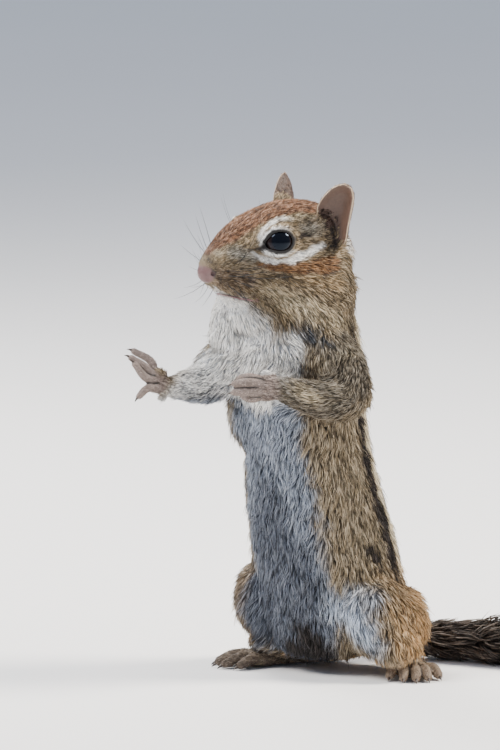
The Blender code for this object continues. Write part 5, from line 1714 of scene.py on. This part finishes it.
def soften_ears(skin):
    """Round off the hollows of the ears."""
    places, _ = arrays_of(skin.data)
    head = to_head(places)
    left = head[:, 1] > 0.0
    head[:, 1] = np.abs(head[:, 1])
    centre, radii = CONCHA
    local = from_ears(head, left)
    near = np.linalg.norm((local - np.array(centre)) / np.array(radii), axis=1)
    weights = smooth_step((1.5 - near) / 0.3)
    group = skin.vertex_groups.new(name="hollows")
    for index in np.flatnonzero(weights > 0.02):
        group.add([int(index)], float(weights[index]), "REPLACE")
    soft = skin.modifiers.new("soft", "SMOOTH")
    soft.vertex_group = "hollows"
    soft.factor = 0.5
    soft.iterations = 16
    finish_modifiers(skin)


def finished_skin(scene):
    """Fuse the flesh, draw it in by the depth of the coat and paint it."""
    skin = whole_skin(scene.chipmunk_coat.head_voxel, scene.chipmunk_coat.body_voxel)
    in_order(skin)
    skin.data.transform(Matrix.Translation(PLACE))
    soften_ears(skin)
    guides = guides_of(scene)
    places, normals = arrays_of(skin.data)
    _, _, _, depth, _ = coat_at(places, normals, guides)
    head = to_head(places)
    left = head[:, 1] > 0.0
    head[:, 1] = np.abs(head[:, 1])
    eye = np.linalg.norm(head - np.array(EYE_CENTRE), axis=1) - EYE_RADIUS
    mouth = stroke_distance(head, [(*point, 0.9) for point in MOUTH_LINE])
    centre, radii = NOSE_SKIN
    nose = np.linalg.norm((head - np.array(centre)) / np.array(radii), axis=1) - 1.0
    depth *= smooth_step((eye - 0.9) / 1.2) * smooth_step(mouth / 1.5 + 0.25) * smooth_step(nose / 0.5 - 0.1)
    drawn = places - normals * depth[:, None]
    drawn[:, 2] = np.maximum(drawn[:, 2], 0.02)
    skin.data.vertices.foreach_set("co", (drawn * MM + np.array(PLACE)).ravel())
    palette = palette_of(scene)
    shade = coat_colour(places, normals, palette)[:, :3] * 0.55
    gloss = np.full(len(places), 0.6)
    local, inner = ear_places(head, left, normals)

    def stain(name, mask, roughness, strength=1.0):
        mask = smooth_step(mask) * strength
        shade[:] = shade * (1.0 - mask[:, None]) + np.array(linear(palette[name])) * mask[:, None]
        gloss[:] = gloss * (1.0 - mask) + roughness * mask

    on_ear = (local[:, 1] > 1.5) & (head[:, 1] > 9.0) & (np.abs(local[:, 0] + 1.0) < 6.4)
    on_ear &= local[:, 2] < 1.0
    stain("ear", np.where(on_ear, 0.5 + inner * 2.0, 0.0), 0.5)
    rim = stroke_distance(local, [(x, y, 0.0, 0.2) for x, y in EAR_OUTLINE[1:]])
    stain("rim", np.where(on_ear, 0.5 - rim / 0.5, 0.0), 0.5, 0.8)
    # Painted shade in the ear canal and down the lower hollow of the ear, in the colour of the lids.
    depths = stroke_distance(local, [(-0.6, 8.0, -2.0, 0.4), (-1.2, 4.6, -1.5, 1.6), (-1.0, 0.8, -1.2, 1.2)])
    stain("lid", np.where(head[:, 1] > 9.0, 0.5 - depths / 3.4, 0.0), 0.6, 0.9)
    stain("lid", 0.5 + (0.12 - stroke_distance(head, lid_line())) / 0.24, 0.75)
    stain("nose", 0.5 - nose / 0.2, 0.38)
    # Painted shade in the fold beside the nose, in the colour of the lids.
    stain("lid", 0.5 - stroke_distance(head, NOSE_FOLD) / 0.6, 0.5, 0.8)
    stain("lip", 0.5 - (mouth - 0.0) / 0.5, 0.4)
    # Painted shade in and round the nostril, in the colour of the lids.
    nostril = np.linalg.norm(head - np.array(NOSTRIL[0]), axis=1)
    stain("lid", 0.5 + (0.75 - nostril) / 0.5, 0.4, 0.7)
    paint = np.ones((len(places), 4), dtype=np.float32)
    paint[:, :3] = shade
    skin.data.attributes.new("coat", "FLOAT_COLOR", "POINT").data.foreach_set("color", paint.ravel())
    skin.data.attributes.new("finish", "FLOAT", "POINT").data.foreach_set("value", gloss)
    skin.data.shade_smooth()
    return skin


class CHIPMUNK_OT_skin(Operator):
    """Build the skin that stands for all the flesh"""

    bl_idname = "chipmunk.skin"
    bl_label = "Skin"

    def execute(self, context):
        skin = finished_skin(context.scene)
        placed(skin, "skin", skin_material(), "ear_skin", *FLESH)
        return {"FINISHED"}


class CHIPMUNK_OT_coat(Operator):
    """Grow the coat on the skin, in pieces"""

    bl_idname = "chipmunk.coat"
    bl_label = "Coat"

    def execute(self, context):
        scene = context.scene
        wanted = scene.chipmunk_coat.tufts
        fullness = scene.chipmunk_coat.fullness * math.sqrt(scene.chipmunk_coat.tufts / wanted)
        guides = guides_of(scene)
        corners, colours, outer, region = grow(
            bpy.data.objects["skin"].data, guides, palette_of(scene), wanted, fullness, 4)
        fur = fur_material("chipmunk fur", 0.5)
        brush = fur_material("chipmunk tail fur", 0.55)
        for number, (group, chunk, mapped) in enumerate(coat_pieces(corners, colours, outer, region), 1):
            name = "coat_%02d" % number
            item = new_object(name, tuft_mesh(name, corners[chunk], colours[chunk], mapped))
            on_tail = 8 in group
            placed(item, name, brush if on_tail else fur, "tail_fur" if on_tail else "fur")
        return {"FINISHED"}


class CHIPMUNK_OT_eyes(Operator):
    """Put both eyes in their sockets"""

    bl_idname = "chipmunk.eyes"
    bl_label = "Eyes"

    def execute(self, context):
        eyes = joined("eyes", [
            ball("eye", in_head(EYE_CENTRE, side), [EYE_RADIUS] * 3, None, 48, 32) for side in (1.0, -1.0)])
        places, _ = arrays_of(eyes.data)
        places = places + np.array(PLACE) / MM
        head = to_head(places)
        head[:, 1] = np.abs(head[:, 1])
        axis = np.array(EYE_AXIS) / np.linalg.norm(EYE_AXIS)
        lean = np.degrees(np.arccos(np.clip(unit(head - np.array(EYE_CENTRE)) @ axis, -1.0, 1.0)))
        ring = smooth_step((lean - 34.0) / 10.0) * smooth_step((64.0 - lean) / 8.0)
        eyes.data.attributes.new("iris", "FLOAT", "POINT").data.foreach_set("value", ring)
        eyes.data.transform(Matrix.Translation(PLACE))
        eyes.data.shade_smooth()
        finish = eye_material(context.scene.chipmunk_colours.iris)
        placed(eyes, "eyes", finish, "eye", "eye_left", "eye_right")
        return {"FINISHED"}


class CHIPMUNK_OT_claws(Operator):
    """Set a claw on every finger and toe"""

    bl_idname = "chipmunk.claws"
    bl_label = "Claws"

    def execute(self, context):
        rows = []
        for name, entries in digits()[0].items():
            for points, radius in entries:
                along = (points[2] - points[1]).normalized()
                start = points[2] + along * radius * 0.25
                direction = along + Vector((0.0, 0.0, 0.03 if name.startswith("foot") else -0.12))
                rows.append((start, direction, 0.0, 2.5 if name.startswith("foot") else 2.0))
        rings = ((0.0, 0.0, 0.2), (0.3, 0.02, 0.18), (0.6, 0.0, 0.13), (0.85, -0.08, 0.06), (1.0, -0.18, 0.0))
        template = hooked_template("claw", 6, rings)
        finish = horn_material("chipmunk claw", context.scene.chipmunk_colours.claw, 0.35)
        placed(scattered("claws", rows, template, finish), "claws", None, "claw")
        return {"FINISHED"}


class CHIPMUNK_OT_whiskers(Operator):
    """Set the whiskers on the pads of the muzzle, the brows and the cheeks"""

    bl_idname = "chipmunk.whiskers"
    bl_label = "Whiskers"

    def execute(self, context):
        places, normals = arrays_of(bpy.data.objects["skin"].data)
        rng = np.random.default_rng(8)
        rows = []
        for side in (1.0, -1.0):
            wanted = [((forward, 5.5, up), (-0.2, 1.0, rise), length * 0.8)
                      for up, rise in WHISKER_ROWS for forward, length in WHISKER_COLUMNS]
            for spot, way, length in wanted + list(BROW_WHISKERS):
                near = np.array(in_head(spot, side)) + rng.normal(0.0, 0.25, 3)
                index = int(((places - near) ** 2).sum(axis=1).argmin())
                way = np.array(way) + rng.normal(0.0, 0.14, 3)
                way = Vector((way[0], way[1] * side, way[2]))
                direction = head_turn() @ way.normalized()
                start = Vector(places[index]) - direction * 0.5
                spin = rng.uniform(-0.6, 0.6) + math.pi
                rows.append((start, direction, spin, length * rng.uniform(0.85, 1.2)))
        rings = ((0.0, 0.0, 0.0058), (0.2, -0.01, 0.0053), (0.45, -0.04, 0.0042), (0.7, -0.10, 0.0030),
                 (0.88, -0.16, 0.0017), (1.0, -0.21, 0.0))
        template = hooked_template("whisker", 4, rings)
        finish = horn_material("chipmunk whisker", context.scene.chipmunk_colours.whisker, 0.4)
        placed(scattered("whiskers", rows, template, finish), "whiskers", None, "whisker")
        return {"FINISHED"}


def area_light(name, turn, rise, distance, size, power, colour):
    """A soft light that looks at the animal from a direction round it, in degrees."""
    lamp = bpy.data.lights.new(name, "AREA")
    lamp.shape = "DISK"
    lamp.size = size
    lamp.energy = power
    lamp.color = colour
    item = bpy.data.objects.new(name, lamp)
    bpy.context.scene.collection.objects.link(item)
    turn, rise = math.radians(turn), math.radians(rise)
    way = Vector((math.sin(turn) * math.cos(rise), -math.cos(turn) * math.cos(rise), math.sin(rise)))
    item.location = PLACE + Vector((0.0, 0.0, 0.07)) + way * distance
    item.rotation_euler = way.to_track_quat("Z", "Y").to_euler()


class CHIPMUNK_OT_stage(Operator):
    """Lay the floor, set the light and place the camera"""

    bl_idname = "chipmunk.stage"
    bl_label = "Stage"

    def execute(self, context):
        scene = context.scene
        studio = scene.chipmunk_studio

        def build(work):
            bmesh.ops.create_grid(work, x_segments=1, y_segments=1, size=6000.0)
        floor = mesh_from("floor", build)
        floor.data.materials.append(floor_material(studio.floor))
        bench.objects.unlink(floor)
        scene.collection.objects.link(floor)
        world = bpy.data.worlds.new("sky")
        world.use_nodes = True
        light = world.node_tree.nodes["Background"]
        light.inputs["Color"].default_value = (*linear(studio.sky), 1.0)
        light.inputs["Strength"].default_value = studio.sky_strength
        scene.world = world
        area_light("key", -38.0, 48.0, 0.9, 0.5, studio.key, (1.0, 0.97, 0.93))
        area_light("rim", 126.0, 44.0, 0.8, 0.3, studio.rim, (1.0, 0.94, 0.84))
        area_light("edge", -115.0, 40.0, 0.8, 0.4, studio.rim * 0.5, (1.0, 0.98, 0.95))
        a, e = studio.azimuth, studio.elevation
        right = Vector((math.cos(a), math.sin(a), 0.0))
        ahead = Vector((-math.sin(a) * math.cos(e), math.cos(a) * math.cos(e), -math.sin(e)))
        upward = right.cross(ahead)
        camera = bpy.data.cameras.new("camera")
        camera.sensor_fit = "VERTICAL"
        camera.sensor_height = 36.0
        camera.lens = 36.0 * studio.distance / studio.view_height
        camera.clip_end = 50.0
        item = bpy.data.objects.new("camera", camera)
        scene.collection.objects.link(item)
        item.location = PLACE - right * 0.0216 + upward * 0.081 - ahead * studio.distance
        item.rotation_euler = ahead.to_track_quat("-Z", "Y").to_euler()
        scene.camera = item
        return {"FINISHED"}


class CHIPMUNK_PT_panel(Panel):
    """The steps that build the model, and its sizes and colours"""

    bl_idname = "CHIPMUNK_PT_panel"
    bl_label = "Chipmunk"
    bl_space_type = "VIEW_3D"
    bl_region_type = "UI"
    bl_category = "Chipmunk"

    def draw(self, context):
        for step in OPERATORS:
            self.layout.operator(step.bl_idname)
        scene = context.scene
        for group in (scene.chipmunk_coat, scene.chipmunk_colours, scene.chipmunk_studio):
            box = self.layout.box()
            for name in group.bl_rna.properties.keys():
                if name not in ("rna_type", "name"):
                    box.prop(group, name)


GROUPS = (ChipmunkColours, ChipmunkCoat, ChipmunkStudio)
OPERATORS = (CHIPMUNK_OT_skin, CHIPMUNK_OT_coat, CHIPMUNK_OT_eyes, CHIPMUNK_OT_claws, CHIPMUNK_OT_whiskers,
             CHIPMUNK_OT_stage)


def register():
    """Register the classes and their settings."""
    for item in GROUPS + OPERATORS + (CHIPMUNK_PT_panel,):
        bpy.utils.register_class(item)
    bpy.types.Scene.chipmunk_colours = PointerProperty(type=ChipmunkColours)
    bpy.types.Scene.chipmunk_coat = PointerProperty(type=ChipmunkCoat)
    bpy.types.Scene.chipmunk_studio = PointerProperty(type=ChipmunkStudio)


def unregister():
    """Remove the settings and the classes."""
    del bpy.types.Scene.chipmunk_studio
    del bpy.types.Scene.chipmunk_coat
    del bpy.types.Scene.chipmunk_colours
    for item in reversed(GROUPS + OPERATORS + (CHIPMUNK_PT_panel,)):
        bpy.utils.unregister_class(item)


def main():
    """Register and run every step in order."""
    register()
    for step in OPERATORS:
        name = step.bl_idname.split(".")[1]
        if getattr(bpy.ops.chipmunk, name)() != {"FINISHED"}:
            raise RuntimeError("the step " + name + " did not finish")


if __name__ == "__main__":
    main()
